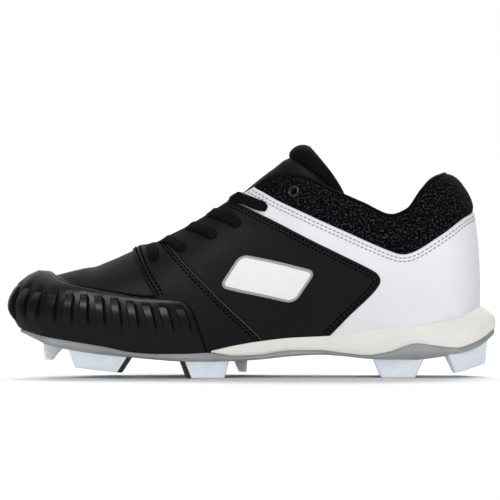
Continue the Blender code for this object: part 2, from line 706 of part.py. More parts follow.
def build_cleat(row):
    """One blade: it follows the plate's edge and tapers down to its foot."""
    spec = dict(zip(CLEAT_COLUMNS, row))
    side = spec["side"]
    rings = []
    for k in np.linspace(0, 1, CLEAT_STEPS + 1):
        top_u = spec["top_0"] + (spec["top_1"] - spec["top_0"]) * k
        foot_u = spec["foot_0"] + (spec["foot_1"] - spec["foot_0"]) * k
        foot_z = spec["z_0"] + (spec["z_1"] - spec["z_0"]) * k
        ring = []
        for u, half, down in ((top_u, spec["wide"] / 2, None), (foot_u, spec["thin"] / 2, foot_z)):
            middle = float(sole_flare(u)) - spec["inset"]
            pair = [sole_point(side, u, middle + h, z=down, surface=None if down is not None else "under")
                    for h in (-half, half)]
            ring += pair if down is None else pair[::-1]
        for point in ring[:2]:
            point[2] -= CLEAT_TOP_GAP
        rings.append(ring)
    return soften(loft(f"cleat_{spec['name']}", rings, True, False, "pale_stud"))


def build_toe_stud():
    """The short stud under the tip of the toe."""
    rings = []
    for (x_low, x_high), (y_low, y_high) in (TOE_STUD_TOP, TOE_STUD_FOOT):
        rings.append([[x_low, y_low, 0], [x_high, y_low, 0], [x_high, y_high, 0], [x_low, y_high, 0]])
    for point in rings[0]:
        point[2] = float(level["under"](point[0])) - CLEAT_TOP_GAP
    for point in rings[1]:
        point[2] = TOE_STUD_Z
    return soften(loft("cleat_toe", rings, True, False, "pale_stud"))


def soften(obj):
    """Breaks the sharp edges of a moulded stud."""
    round_edges = obj.modifiers.new("soft edges", "BEVEL")
    round_edges.width = 0.7 * MM
    round_edges.segments = 1
    round_edges.limit_method = "ANGLE"
    round_edges.angle_limit = math.radians(35)
    return obj


def rib(u, start):
    """Height of the guard's ribs along the girth, from 0 in a groove to 1 on a rib."""
    place = np.mod(np.asarray(u, float) - start, RIB_PITCH)
    return np.clip(np.minimum(place, RIB_WIDTH - place) / RIB_SLOPE, 0, 1)


def build_toe_guard():
    """The rubber drag guard: a skin over the toe of the upper with upright ribs in relief."""
    start = GUARD_END_U - RIB_PITCH * RIBS_PER_SIDE
    grid = [TOE_U]
    for k in range(RIBS_PER_SIDE):
        base = start + k * RIB_PITCH
        grid += [base, base + RIB_SLOPE, base + RIB_WIDTH - RIB_SLOPE, base + RIB_WIDTH]
    grid = np.array([u for u in grid if u >= TOE_U] + [GUARD_END_U])
    around = [(LATERAL, u) for u in grid[:0:-1]] + [(MEDIAL, u) for u in grid]
    relief = np.array([0.0, 0.0, 1.0, 1.0, 1.0, 0.0, 0.0, 0.0])
    fine = np.linspace(0.15, 1, 200)
    rings = []
    for side, u in around:
        lean = GUARD_END_LEAN * float(ease(u, -120, GUARD_END_U))
        path = last(side, u - lean, fine)
        above = np.nonzero(path[:, 2] > guard_top(path[:, 0]))[0]
        top = fine[above[0]] if len(above) else fine[-1]
        low, high = float(rib_span["low"](u)), float(rib_span["high"](u))
        rows = np.array([0.0, low - 0.06, low, (low + high) / 2, high, high + 0.05, (high + 1.1) / 2, 1.0])
        fill = toe_fill(last(side, u, top * rows)[:, 2]) * (1 - ease(u, *TOE_FILL_U))
        raised = GUARD_WALL + RIB_HEIGHT * relief * rib(u, start) + fill
        ring = []
        for s, offset in ((top * rows, raised), (np.minimum(GUARD_RISE, top)[::-1], GUARD_EASE)):
            face = skin(side, u - lean * s / top, s, GAP + offset + 0 * s)
            face[:, 2] = np.maximum(face[:, 2], level["joint"](face[:, 0]) + 1.2 * GAP)
            ring.append(face)
        rings.append(np.concatenate(ring))
    return loft("toe_guard", rings, True, False, "black_rubber")


def build_tongue():
    """The padded tongue: arched rows that lean back into the bound top."""
    turns = np.radians(np.linspace(-TONGUE_ARC, TONGUE_ARC, 11))
    swing = (1 - np.cos(turns)) / (1 - math.cos(math.radians(TONGUE_ARC)))
    rings = []
    for row in TONGUE:
        spec = dict(zip(TONGUE_COLUMNS, row))
        lean = math.radians(spec["lean"])
        back = np.array([math.sin(lean), 0, -math.cos(lean)])
        centre = np.array([spec["x"], float(crest_y(spec["x"])), spec["z"]])
        thick = spec["thickness"]
        outside, inside = [], []
        for turn, share in zip(turns, swing):
            across = np.array([0, math.sin(turn), 0])
            outside.append(centre + across * spec["half_width"] + back * spec["wrap"] * share)
            inner_wrap = thick + (spec["wrap"] - thick) * share
            inside.append(centre + across * (spec["half_width"] - thick * 0.8) + back * inner_wrap)
        rings.append(outside + inside[::-1])
    return loft("tongue", rings, True, False, "black_textile")


def eyelet_frame(side, spot):
    """Place and outward normal of an eyelet of the side view."""
    u = spot[0]
    s = rise_at(side, u, spot[1])[0]
    return last(side, u, s), normals(side, u, s)


def punch_eyelets(targets):
    """Round holes through the upper and the panels that carry the lace."""
    for side in (MEDIAL, LATERAL):
        for row, spot in enumerate(EYELETS):
            place, out = eyelet_frame(side, spot)
            name = f"punch_{SIDE_NAMES[side]}_{row + 1}"
            mesh = bpy.data.meshes.new(name)
            bm = bmesh.new()
            radius = EYELET_HOLE * MM
            bmesh.ops.create_cone(
                bm, cap_ends=True, segments=8, radius1=radius, radius2=radius, depth=16 * MM
            )
            bm.to_mesh(mesh)
            bm.free()
            punch = hide_cutter(add_object(name, mesh, where=CUTTERS))
            turn = np_to_rotation(out)
            punch.rotation_mode = "QUATERNION"
            punch.rotation_quaternion = turn
            punch.location = place * MM
            for target in targets[row]:
                if target[0] in (None, side):
                    boolean(target[1], punch, "DIFFERENCE")


def np_to_rotation(direction):
    return Vector(direction).to_track_quat("Z", "Y")


def build_eyelet(side):
    """The ring of the empty top eyelet."""
    place, out = eyelet_frame(side, EYELETS[-1])
    bpy.ops.mesh.primitive_torus_add(
        major_segments=14, minor_segments=6, major_radius=EYELET_RING * MM, minor_radius=EYELET_WIRE * MM
    )
    made = bpy.context.object
    made.name = f"eyelet_{SIDE_NAMES[side]}"
    for home in made.users_collection:
        home.objects.unlink(made)
    PARTS.objects.link(made)
    made.data.materials.append(material("black_rubber"))
    made.data.shade_smooth()
    made.rotation_mode = "QUATERNION"
    made.rotation_quaternion = np_to_rotation(out)
    made.location = (place + out * (EYELET_WIRE + 0.5)) * MM
    return made


def strap(name, path, lift, where):
    """A flat lace along a path, its width along the throat."""
    path = np.asarray(path, float)
    path[:, 2] += lift
    run = np.gradient(path, axis=0)
    run /= np.linalg.norm(run, axis=1, keepdims=True)
    throat = np.array([0.86, 0, 0.51])
    rings = []
    for point, forward in zip(path, run):
        wide = throat - forward * (throat @ forward)
        wide /= np.linalg.norm(wide)
        thick = np.cross(forward, wide)
        thick *= np.sign(thick[2]) * LACE_THICKNESS / 2
        wide = wide * LACE_WIDTH / 2
        rings.append([point - wide - thick, point + wide - thick, point + wide + thick, point - wide + thick])
    return loft(name, rings, True, False, "black_textile", where)


def lace_end(side, spot, up):
    """From an eyelet over the panel to the edge of the throat."""
    u = spot[0]
    s = rise_at(side, u, spot[1])[0]
    lift = GAP + OVERLAY + GAP + LACE_THICKNESS / 2 + 0.5
    return [skin(side, u - up * k, s + (1 - s) * k, lift) for k in (0.0, 0.5, 1.0)]


def build_laces():
    """The bar over the lowest eyelets and the crossings above it."""
    made = []
    first = EYELETS[0]
    near, far = lace_end(MEDIAL, first, LACE_EDGE[0]), lace_end(LATERAL, first, LACE_EDGE[0])
    top_x = first[0] - LACE_MIDDLE[0]
    top = np.array([top_x, float(crest_y(top_x)), max(near[2][2], far[2][2])])
    made.append(strap("lace_bar", [*near, top, *far[::-1]], LACE_BAR_LIFT, PARTS))
    for row in range(LACED_ROWS - 1):
        low, high = EYELETS[row], EYELETS[row + 1]
        pair = []
        for side, lift, where in ((MEDIAL, LACE_OVER, PARTS), (LATERAL, LACE_UNDER, CUTTERS)):
            start = lace_end(side, high, LACE_EDGE[row + 1])
            middle_x = high[0] - LACE_MIDDLE[row + 1]
            middle = np.array([middle_x, float(crest_y(middle_x)), start[2][2] - LACE_SAG])
            end_x = max(low[0] - 6.0, LACE_END_BEHIND_X)
            gap = float(section["edge_reach"](end_x) * throat_opening(end_x)) - 3.6
            end = np.array([end_x, -side * gap + float(crest_y(end_x)), 0.0])
            end[2] = last(-side, end_x, 1.0)[2] - LACE_END_DROP
            name = f"lace_cross_{row + 1}" if where is PARTS else f"lace_under_{row + 1}"
            pair.append(strap(name, [*start, middle, end], lift, where))
        hide_cutter(pair[1])
        boolean(pair[0], pair[1], "UNION")
        made.append(pair[0])
    return made


def badge_outline():
    """A plain leaning patch with round corners."""
    half, tall, radius = BADGE_LENGTH / 2, BADGE_HEIGHT / 2, BADGE_CORNER
    c, s = math.cos(math.radians(BADGE_TURN)), math.sin(math.radians(BADGE_TURN))
    corners = []
    for quarter, (end, top) in enumerate(((1, 1), (-1, 1), (-1, -1), (1, -1))):
        for k in range(BADGE_CORNER_STEPS + 1):
            turn = math.pi / 2 * (quarter + k / BADGE_CORNER_STEPS)
            x = end * (half - radius) + radius * math.cos(turn)
            z = top * (tall - radius) + radius * math.sin(turn)
            x += BADGE_LEAN * z
            corners.append((BADGE_CENTRE[0] + x * c - z * s, BADGE_CENTRE[1] + x * s + z * c))
    return corners


def rim_line(x_values, lift):
    """Points just above the rim of the foam wedge in the side view."""
    return [(x, float(level["rim"](x)) + lift) for x in x_values]


def beside(line, distance):
    """A line of the side view moved to its right by a distance."""
    p = np.array(line, float)
    run = np.gradient(p, axis=0)
    run /= np.linalg.norm(run, axis=1, keepdims=True)
    return [tuple(q) for q in p + np.stack([run[:, 1], -run[:, 0]], axis=1) * distance]


for old in list(bpy.data.objects):
    bpy.data.objects.remove(old)
PARTS = collection("softball_shoe")
CUTTERS = collection("cutters", hidden=True)
FAR = 90.0

upper = shell("upper", lambda u, s: -wall_depth(u, s), lambda u, s: 0 * s, "black_leather")
build_outsole()
build_midsole()
build_insole()
for cleat in CLEATS:
    build_cleat(cleat)
build_toe_stud()
build_toe_guard()
build_tongue()

band = overlay(
    "vamp_band",
    [*BAND_FRONT, *BAND_GUARD, *rim_line((-16.0, -6.0), 0.6), *BAND_BACK],
    "black_leather",
    -FAR,
    FAR,
)
saddle_outline = [*SADDLE_FRONT, *rim_line((18.0, 32.0), 0.8), *SADDLE_BACK, *SADDLE_TOP]
saddles = {
    MEDIAL: overlay("saddle_medial", saddle_outline, "black_leather", -FAR, -1.0),
    LATERAL: overlay("saddle_lateral", saddle_outline, "black_leather", 1.0, FAR),
}
inner_edge = beside([*SADDLE_BACK, *SADDLE_TOP], 0.5)
heel_bottom = rim_line((136.0, 128.0, 120.0, 106.0, 90.0, 72.0, 58.0), 0.8)
heel_panel = overlay(
    "heel_panel",
    [*HEEL_PANEL_TOP, (140.0, 43.0), *heel_bottom, *inner_edge],
    "white_leather",
    -FAR,
    FAR,
)
for side, name in SIDE_NAMES.items():
    low, high = sorted((side * 1.0, side * FAR))
    overlay(f"badge_{name}", badge_outline(), "white_leather", low, high, 2 * GAP + OVERLAY, BADGE_RISE)

saddle_pair = [(side, saddles[side]) for side in saddles]
punch_eyelets(
    [
        [(None, upper), (None, band)],
        [(None, upper), *saddle_pair],
        [(None, upper), *saddle_pair],
        [(None, upper), *saddle_pair],
        [(None, upper), (None, heel_panel)],
        [(None, upper)],
    ]
)
for side in SIDE_NAMES:
    build_eyelet(side)
build_laces()
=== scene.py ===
"""A right softball shoe with moulded studs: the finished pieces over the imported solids."""
import math

import bmesh
import bpy
import numpy as np
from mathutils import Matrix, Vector, geometry


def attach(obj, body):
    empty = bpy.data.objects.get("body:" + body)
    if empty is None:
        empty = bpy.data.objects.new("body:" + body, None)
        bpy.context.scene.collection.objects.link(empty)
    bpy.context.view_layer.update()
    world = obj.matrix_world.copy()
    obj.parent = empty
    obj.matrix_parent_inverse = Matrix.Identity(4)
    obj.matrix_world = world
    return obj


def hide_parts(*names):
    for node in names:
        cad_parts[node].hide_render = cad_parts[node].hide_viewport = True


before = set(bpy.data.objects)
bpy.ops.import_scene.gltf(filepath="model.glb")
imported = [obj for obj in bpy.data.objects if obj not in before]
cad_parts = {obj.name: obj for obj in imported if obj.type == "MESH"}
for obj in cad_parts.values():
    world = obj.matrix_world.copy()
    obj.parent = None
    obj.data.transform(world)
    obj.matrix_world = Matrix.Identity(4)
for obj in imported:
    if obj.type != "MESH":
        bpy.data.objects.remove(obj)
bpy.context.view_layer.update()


# The last: the wooden or plastic foot that every piece of the upper is cut for and pulled over.
# It is given by upright sections: u runs along the girth from the toe tip to the middle of the heel
# on each side, and s rises from the sole's edge to the throat, the collar or the crest. Millimetres.
MM = 0.001
MEDIAL, LATERAL = -1, 1
SIDES = (MEDIAL, LATERAL)
SIDE_NAMES = {MEDIAL: "medial", LATERAL: "lateral"}
TOE_TIP = (-139.0, -9.0)
HEEL_BACK = (134.4, 0.0)
TOE_PIVOT_X = -95.0
TOE_FAN_RADIUS = 40.0
TOE_U = TOE_PIVOT_X - TOE_FAN_RADIUS * math.pi / 2
HEEL_PIVOT_X = 100.0
HEEL_FAN_RADIUS = 33.0
HEEL_U = HEEL_PIVOT_X + HEEL_FAN_RADIUS * math.pi / 2
THROAT_FRONT_X = -64.0
THROAT_ROUNDING = 9.0
THROAT_OPEN_X = -44.0
GAP = 0.3


def table(names, rows):
    """Named columns of a small table of sizes."""
    return dict(zip(names.split(), np.array(rows, float).T))


PLAN = table("x medial lateral", (
    (-125, -33, 14), (-112, -40, 25), (-84, -45.3, 38), (-65, -46.6, 43.5), (-40, -44.6, 46.6),
    (-16, -38.6, 46.2), (11, -33, 43.5), (39, -30.5, 39.6), (66, -31, 36.2), (93, -32.3, 33.8),
    (112.5, -29.6, 30.3), (126, -19.5, 20),
))
CREST = table("x y", ((-140, -6), (-95, -5), (-40, -1.5), (10, 0), (140, 0)))
SECTIONS = table("u tuck flare share edge_z edge_reach shoulder drop", (
    (-157.8, 8, 14, 0.69, 64.3, 9, 30, 7), (-126, 5, 9, 0.60, 64.3, 9, 28, 2.8),
    (-95, 2.5, 5, 0.50, 64.3, 9, 26, 0), (-84, 2.1, 4.8, 0.48, 67.9, 9, 25.6, 0),
    (-66, 1.5, 4.5, 0.45, 75.8, 9, 25, 0),
    (-45, 1.5, 4, 0.42, 83.4, 9.8, 32, 10), (-30, 1.5, 4, 0.42, 91.9, 11, 32, 15),
    (-12, 1.5, 4, 0.42, 103.4, 12.5, 30.5, 20), (1, 1.5, 3.5, 0.42, 111.4, 13.5, 29.5, 23),
    (11, 1.5, 3.5, 0.43, 118, 14.5, 29.5, 23.5), (20, 1.5, 3, 0.44, 120.2, 16.5, 31.5, 19),
    (28, 1.5, 3, 0.45, 119.4, 19.5, 35.5, 12), (36, 1.5, 3, 0.45, 116.5, 22.5, 37.5, 5),
    (49, 1.5, 3, 0.45, 110, 25, 38, 1.8), (66, 1.5, 3, 0.46, 102.5, 26.5, 38.5, 1),
    (82, 1.5, 3, 0.46, 95.9, 27, 38, 1), (91, 1.5, 3, 0.47, 99.2, 26.5, 38.5, 1),
    (100, 1.5, 3, 0.48, 111.2, 25, 38, 1), (107, 1.5, 3, 0.49, 116.4, 22.6, 37, 1),
    (115, 1.5, 3, 0.50, 118.6, 20, 36, 1), (133, 1.5, 2, 0.50, 119.7, 14.6, 34, 0.6),
    (151.8, 1.5, -0.4, 0.50, 119, 11, 32.6, 0),
))
SOLE = table("x under joint floor rim", (
    (-143, 28.2, 30.6, 30.6, 31), (-131, 24, 26.8, 26.8, 27.2), (-121, 19.8, 24.2, 24.2, 24.6),
    (-107, 16.6, 21.9, 21.9, 22.3), (-87, 13.9, 18.8, 18.8, 19.2), (-70, 12.3, 15.5, 15.5, 15.9),
    (-56, 11, 14.6, 14.6, 15), (-42, 10, 14.6, 14.6, 15), (-26, 9.8, 15, 15.4, 16.2),
    (-10, 10, 13, 16.6, 19.4), (3, 10.7, 13.4, 18.2, 21.5), (23, 12.6, 16, 20.4, 23.7),
    (40, 13.5, 16, 21.8, 24.5), (53, 12.7, 14.5, 22.8, 25.5), (68, 11.2, 13.2, 23.8, 27.8),
    (80, 10.7, 15.2, 24.6, 29.4), (97, 10.7, 20.2, 25.4, 31.4), (106, 11.6, 19.1, 25.8, 32.6),
    (121, 14.2, 17.6, 26.2, 35.2), (129, 16.2, 19.8, 26.4, 39.4), (136, 19.4, 23.2, 26.6, 41.8),
    (143, 25.6, 28.5, 30, 42),
))


def smooth(xs, ys):
    """A smooth function through the points that never overshoots between two of them."""
    steps = np.diff(xs)
    slopes = np.diff(ys) / steps
    tangents = np.concatenate([slopes[:1], np.zeros(len(xs) - 2), slopes[-1:]])
    for i in range(1, len(xs) - 1):
        before, after = slopes[i - 1], slopes[i]
        if before * after > 0:
            tangents[i] = 2 * before * after / (before + after)

    def evaluate(x):
        x = np.clip(np.asarray(x, float), xs[0], xs[-1])
        i = np.clip(np.searchsorted(xs, x) - 1, 0, len(steps) - 1)
        t = (x - xs[i]) / steps[i]
        ease_in = ys[i] + (ys[i + 1] - ys[i]) * t * t * (3 - 2 * t)
        start = t * (1 - t) ** 2 * steps[i] * tangents[i]
        end = t * t * (t - 1) * steps[i] * tangents[i + 1]
        return ease_in + start + end

    return evaluate


def curves(columns, key):
    """One smooth function for each other column of a table."""
    return {name: smooth(columns[key], column) for name, column in columns.items() if name != key}


def lengths_along(line):
    """Length along a line of points from its start to each of them."""
    return np.concatenate([[0], np.cumsum(np.linalg.norm(np.diff(line, axis=0), axis=1))])


def unit(vectors):
    return vectors / np.linalg.norm(vectors, axis=-1, keepdims=True)


def spline_through(points, per_span):
    """Points along a round curve through a list of points, left open at its two end spans."""
    p = np.array(points, float)
    t = lengths_along(p)
    found = []
    for i in range(1, len(p) - 2):
        span = t[i + 1] - t[i]
        m0 = (p[i + 1] - p[i - 1]) / (t[i + 1] - t[i - 1]) * span
        m1 = (p[i + 2] - p[i]) / (t[i + 2] - t[i]) * span
        for k in np.arange(per_span) / per_span:
            rise = k * k * (3 - 2 * k)
            found.append(p[i] + (p[i + 1] - p[i]) * rise + m0 * k * (1 - k) ** 2 + m1 * k * k * (k - 1))
    found.append(p[-2])
    return np.array(found)


def widest_line(side):
    """The widest line of the last on one side, from past the toe tip to past the heel."""
    near = list(zip(PLAN["x"], PLAN[SIDE_NAMES[side]]))
    far = list(zip(PLAN["x"], PLAN[SIDE_NAMES[-side]]))
    return spline_through([far[1], far[0], TOE_TIP, *near, HEEL_BACK, far[-1], far[-2]], 12)


OUTLINES = {side: widest_line(side) for side in SIDES}
crest_y = curves(CREST, "x")["y"]
section = curves(SECTIONS, "u")
level = curves(SOLE, "x")


def ease(value, start, end):
    """A soft step from 0 at the start to 1 at the end."""
    t = np.clip((np.asarray(value, float) - start) / (end - start), 0, 1)
    return t * t * (3 - 2 * t)


def columns(side, u):
    """Foot, direction in plan and reach of the upright section planes at girth u."""
    u = np.asarray(u, float)
    toe_turn = np.clip(TOE_PIVOT_X - u, 0, None) / TOE_FAN_RADIUS
    heel_turn = np.clip(u - HEEL_PIVOT_X, 0, None) / HEEL_FAN_RADIUS
    foot_x = np.clip(u, TOE_PIVOT_X, HEEL_PIVOT_X)
    foot_y = crest_y(foot_x)
    dir_x = np.sin(heel_turn) - np.sin(toe_turn)
    dir_y = side * np.cos(heel_turn + toe_turn)
    line = OUTLINES[side]
    body = line[(line[:, 0] > TOE_PIVOT_X - 20) & (line[:, 1] * side > 10)]
    reach = side * (np.interp(foot_x, body[:, 0], body[:, 1]) - foot_y)
    for turn, pivot_x, sign in ((toe_turn, TOE_PIVOT_X, -1), (heel_turn, HEEL_PIVOT_X, 1)):
        arc = line - np.array([pivot_x, crest_y(pivot_x)])
        arc = arc[arc[:, 0] * sign > -15]
        bearing = np.arctan2(arc[:, 0] * sign, arc[:, 1] * side)
        order = np.argsort(bearing)
        fan_reach = np.interp(turn, bearing[order], np.linalg.norm(arc, axis=1)[order])
        reach = np.where(turn > 0, fan_reach, reach)
    return foot_x, foot_y, dir_x, dir_y, reach


def throat_opening(u):
    """0 over the closed vamp, rising round the front of the throat to 1 behind it."""
    run = np.clip((np.asarray(u, float) - THROAT_FRONT_X) / THROAT_ROUNDING, 0, 1)
    return np.sqrt(1 - (1 - run) ** 2)


def bow(t, p_0, p_1, p_2, p_3):
    """A section's curve between its two ends, drawn by four points."""
    return (1 - t) ** 3 * p_0 + 3 * t * (1 - t) ** 2 * p_1 + 3 * t * t * (1 - t) * p_2 + t**3 * p_3


def bow_slope(t, p_0, p_1, p_2, p_3):
    return 3 * ((1 - t) ** 2 * (p_1 - p_0) + 2 * t * (1 - t) * (p_2 - p_1) + t * t * (p_3 - p_2))


OUTER_COLLAR_DROP = 2.8


def outer_drop(side, u):
    """How much lower the collar dips under the outer ankle bone than under the inner one."""
    return (side == LATERAL) * OUTER_COLLAR_DROP * ease(u, 24, 60) * (1 - ease(u, 100, 145))


def last(side, u, s):
    """Points of the outside of the upper at girth u and rise s. Round the front of the throat the
    closed vamp is cut back along its own curve, and eases into the open section behind it."""
    u, s = np.asarray(u, float), np.asarray(s, float)
    foot_x, foot_y, dir_x, dir_y, reach = columns(side, u)
    feather_z = level["floor"](foot_x + dir_x * reach) + GAP
    edge_z = section["edge_z"](u) - outer_drop(side, u)
    edge_r = section["edge_reach"](u) * throat_opening(u)
    height = edge_z - feather_z
    r = (reach - section["tuck"](u), reach + section["flare"](u), section["shoulder"](u))
    z = (feather_z, feather_z + section["share"](u) * height, edge_z - section["drop"](u), edge_z)
    cut = 1 - edge_r / (3 * r[2])
    for _ in range(4):
        cut = cut - (bow(cut, *r, 0) - edge_r) / bow_slope(cut, *r, 0)
    opened = np.where(u > THROAT_FRONT_X, ease(u, THROAT_FRONT_X, THROAT_OPEN_X), 0)
    radius = (1 - opened) * bow(cut * s, *r, 0) + opened * bow(s, *r, edge_r)
    rise = (1 - opened) * bow(cut * s, *z) + opened * bow(s, *z)
    return np.stack([foot_x + dir_x * radius, foot_y + dir_y * radius, rise], axis=-1)


def normals(side, u, s):
    """Outward unit normals of the last."""
    u, s = np.broadcast_arrays(np.asarray(u, float), np.asarray(s, float))
    u = np.where((s > 0.999) & (u < TOE_PIVOT_X), TOE_PIVOT_X, u)
    near_front = (u <= THROAT_FRONT_X) & (u > THROAT_FRONT_X - 1)
    low = np.where(u > THROAT_FRONT_X, np.maximum(u - 0.5, THROAT_FRONT_X + 1e-3), u - 0.5)
    high = np.where(near_front, u, u + 0.5)
    along = last(side, high, s) - last(side, low, s)
    up = last(side, u, np.minimum(s + 0.004, 1)) - last(side, u, np.maximum(s - 0.004, 0))
    found = np.cross(along, up) * -side
    on_crest = (s > 0.999) & (u <= THROAT_FRONT_X)
    ridge = np.stack([-along[..., 2], 0 * s, along[..., 0]], axis=-1)
    found = np.where(on_crest[..., None], ridge, found)
    return unit(found)


def skin(side, u, s, offset):
    """The last grown outwards by an offset."""
    return last(side, u, s) + normals(side, u, s) * np.asarray(offset)[..., None]


RISES = np.linspace(0, 1, 121)


def rise_at(side, u, z):
    """The rise s at which the section at each girth passes a height z."""
    heights = last(side, np.asarray(u, float)[:, None], RISES)[..., 2]
    return np.array([np.interp(h, row, RISES) for h, row in zip(np.broadcast_to(z, np.shape(u)), heights)])


def arcs(side, u):
    """Length along each section from the sole's edge up to each of RISES."""
    steps = np.diff(last(side, np.asarray(u, float)[:, None], RISES), axis=1)
    lengths = np.cumsum(np.linalg.norm(steps, axis=2), axis=1)
    return np.concatenate([np.zeros((len(lengths), 1)), lengths], axis=1)


def arc_of(side, u, s):
    """The flat pattern's height (mm up from the sole's edge) of points at rise s."""
    return np.array([np.interp(k, RISES, row) for k, row in zip(s, arcs(side, u))])


def rise_of(side, u, a):
    """The rise s of points of the flat pattern."""
    return np.array([np.interp(k, row, RISES) for k, row in zip(a, arcs(side, u))])


def sole_point(side, u, outset, z=None, surface=None):
    """Points at an outset from the widest line, at a height or on a named level of the sole."""
    foot_x, foot_y, dir_x, dir_y, reach = columns(side, u)
    r = reach + outset if outset is not None else 0 * reach
    x, y = foot_x + dir_x * r, foot_y + dir_y * r
    height = level[surface](x) if surface else z
    return np.stack(np.broadcast_arrays(x, y, height), axis=-1)


# Sole plate: one moulded nylon plate under the whole shoe, satin grey, thin at the waist and rising
# in a wave at the heel. Its underside is recessed inside a flange, and the studs stand on it.
PLATE_GREY = "8d8f91"
PLATE_GREY_LIGHT = "a3a5a7"
SOLE_EDGE = table("u flare", (
    (-157.8, -2.2), (-126, -0.8), (-95, 0.8), (-66, 1.6), (0, 1.6), (60, 2.2), (100, 4), (126, 6.9),
    (151.8, 9),
))
sole_flare = curves(SOLE_EDGE, "u")["flare"]
PLATE_TUCK = 3.4
PLATE_FLANGE = 5.0
PLATE_RECESS = 0.7
# Rows of the underside: inset and share of the recess. Rows of the edge: share of its height and outset.
PLATE_UNDERSIDE = ((16.0, 1.0), (9.0, 1.0), (PLATE_FLANGE + 0.6, 1.0), (PLATE_FLANGE, 0.0), (1.6, 0.0))
PLATE_EDGE = ((0.0, -0.5), (0.04, -0.15), (0.14, 0.35), (0.35, 1.2), (0.55, 1.0), (0.74, 1.0), (0.78, 0.7),
              (0.84, 0.7), (0.88, 1.0), (0.95, 0.95), (1.0, 0.5))
SOLE_STEP = 1.6
MOULD_GRAIN_MM = 0.9
MOULD_RUBBED_MM = 26


def linear(code):
    """A colour code of the screen as linear light."""
    parts = [int(code[i:i + 2], 16) / 255 for i in (0, 2, 4)]
    return (*[p / 12.92 if p <= 0.04045 else ((p + 0.055) / 1.055) ** 2.4 for p in parts], 1.0)


def add_node(tree, kind, inputs=None, **options):
    """Adds a shader node, sets its options, and sets or links its inputs."""
    made = tree.nodes.new("ShaderNode" + kind)
    for option, value in options.items():
        setattr(made, option, value)
    for socket, value in (inputs or {}).items():
        if isinstance(value, bpy.types.NodeSocket):
            tree.links.new(value, made.inputs[socket])
        else:
            made.inputs[socket].default_value = value
    return made


def new_finish(name):
    made = bpy.data.materials.new(name)
    made.use_nodes = True
    made.node_tree.nodes.clear()
    return made, made.node_tree


def per_mm(size):
    """Texture scale, in metres, that gives a pattern of this size in millimetres."""
    return 1 / (size * MM)


def quads(rows, count, rows_joined=False, ring=False):
    """Faces between neighbouring rows of a grid of points."""
    i = np.arange(rows if rows_joined else rows - 1)[:, None]
    j = np.arange(count if ring else count - 1)[None, :]
    below, above, after = i * count, (i + 1) % rows * count, (j + 1) % count
    return np.stack([below + j, above + j, above + after, below + after], axis=-1).reshape(-1, 4).tolist()


def tube(rows, count):
    """Faces of a tube through rows of rings, closed at both ends."""
    end = (rows - 1) * count
    return quads(rows, count, ring=True) + [tuple(range(count)), tuple(range(end, end + count))[::-1]]


def add_piece(name, points, faces, finishes, nodes=(), face_finish=None, pattern=None, edge=None,
              sharp=40):
    """A welded mesh object in metres that rides on the shoe and stands for its solids."""
    mesh = bpy.data.meshes.new(name)
    mesh.from_pydata((np.asarray(points, float).reshape(-1, 3) * MM).tolist(), [], faces)
    for finish in finishes:
        mesh.materials.append(finish)
    if face_finish is not None:
        mesh.polygons.foreach_set("material_index", np.asarray(face_finish, np.int32))
    if pattern is not None:
        corners = np.array([corner for face in faces for corner in face])
        places = np.asarray(pattern, np.float32).reshape(-1, 2)[corners]
        mesh.uv_layers.new(name="pattern").data.foreach_set("uv", places.ravel())
    if edge is not None:
        shown = np.asarray(edge, np.float32).ravel()
        mesh.attributes.new("edge", "FLOAT", "POINT").data.foreach_set("value", shown)
    bm = bmesh.new()
    bm.from_mesh(mesh)
    bmesh.ops.remove_doubles(bm, verts=bm.verts, dist=2e-6)
    bmesh.ops.dissolve_degenerate(bm, edges=bm.edges, dist=1e-7)
    bmesh.ops.recalc_face_normals(bm, faces=bm.faces)
    bm.to_mesh(mesh)
    bm.free()
    mesh.shade_smooth()
    mesh.set_sharp_from_angle(angle=math.radians(sharp))
    made = bpy.data.objects.new(name, mesh)
    bpy.context.scene.collection.objects.link(made)
    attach(made, "root")
    if nodes:
        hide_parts(*nodes)
    return made


def girth_steps(start, end, step):
    return np.linspace(start, end, int(round((end - start) / step)) + 1)


def round_the_shoe(u):
    """Girths right round the shoe: the inner side to the heel, then the outer side back to the toe."""
    return [(MEDIAL, u), (LATERAL, u[-2:0:-1])]


# Moulded nylon: an even satin sheen with the faint spark-eroded grain of the mould, a shade
# lighter where it is rubbed.
moulded_nylon, tree = new_finish("moulded_nylon_grey")
place = add_node(tree, "TexCoord").outputs["Object"]
grain = add_node(tree, "TexNoise", {"Vector": place, "Scale": per_mm(MOULD_GRAIN_MM), "Detail": 3.0})
rubbed = add_node(tree, "TexNoise", {"Vector": place, "Scale": per_mm(MOULD_RUBBED_MM), "Detail": 3.0})
shade = add_node(tree, "MapRange", {0: rubbed.outputs["Fac"], 1: 0.35, 2: 0.7, 3: 0.0, 4: 1.0})
colour = add_node(tree, "Mix", {0: shade.outputs[0], 6: linear(PLATE_GREY), 7: linear(PLATE_GREY_LIGHT)},
                  data_type="RGBA")
gloss = add_node(tree, "MapRange", {0: grain.outputs["Fac"], 1: 0.3, 2: 0.7, 3: 0.36, 4: 0.5})
bump = add_node(tree, "Bump", {"Strength": 0.12, "Distance": 0.0002, "Height": grain.outputs["Fac"]})
shader = add_node(tree, "BsdfPrincipled", {
    "Base Color": colour.outputs[2], "Roughness": gloss.outputs[0], "IOR": 1.5, "Normal": bump.outputs[0]})
add_node(tree, "OutputMaterial", {"Surface": shader.outputs[0]})


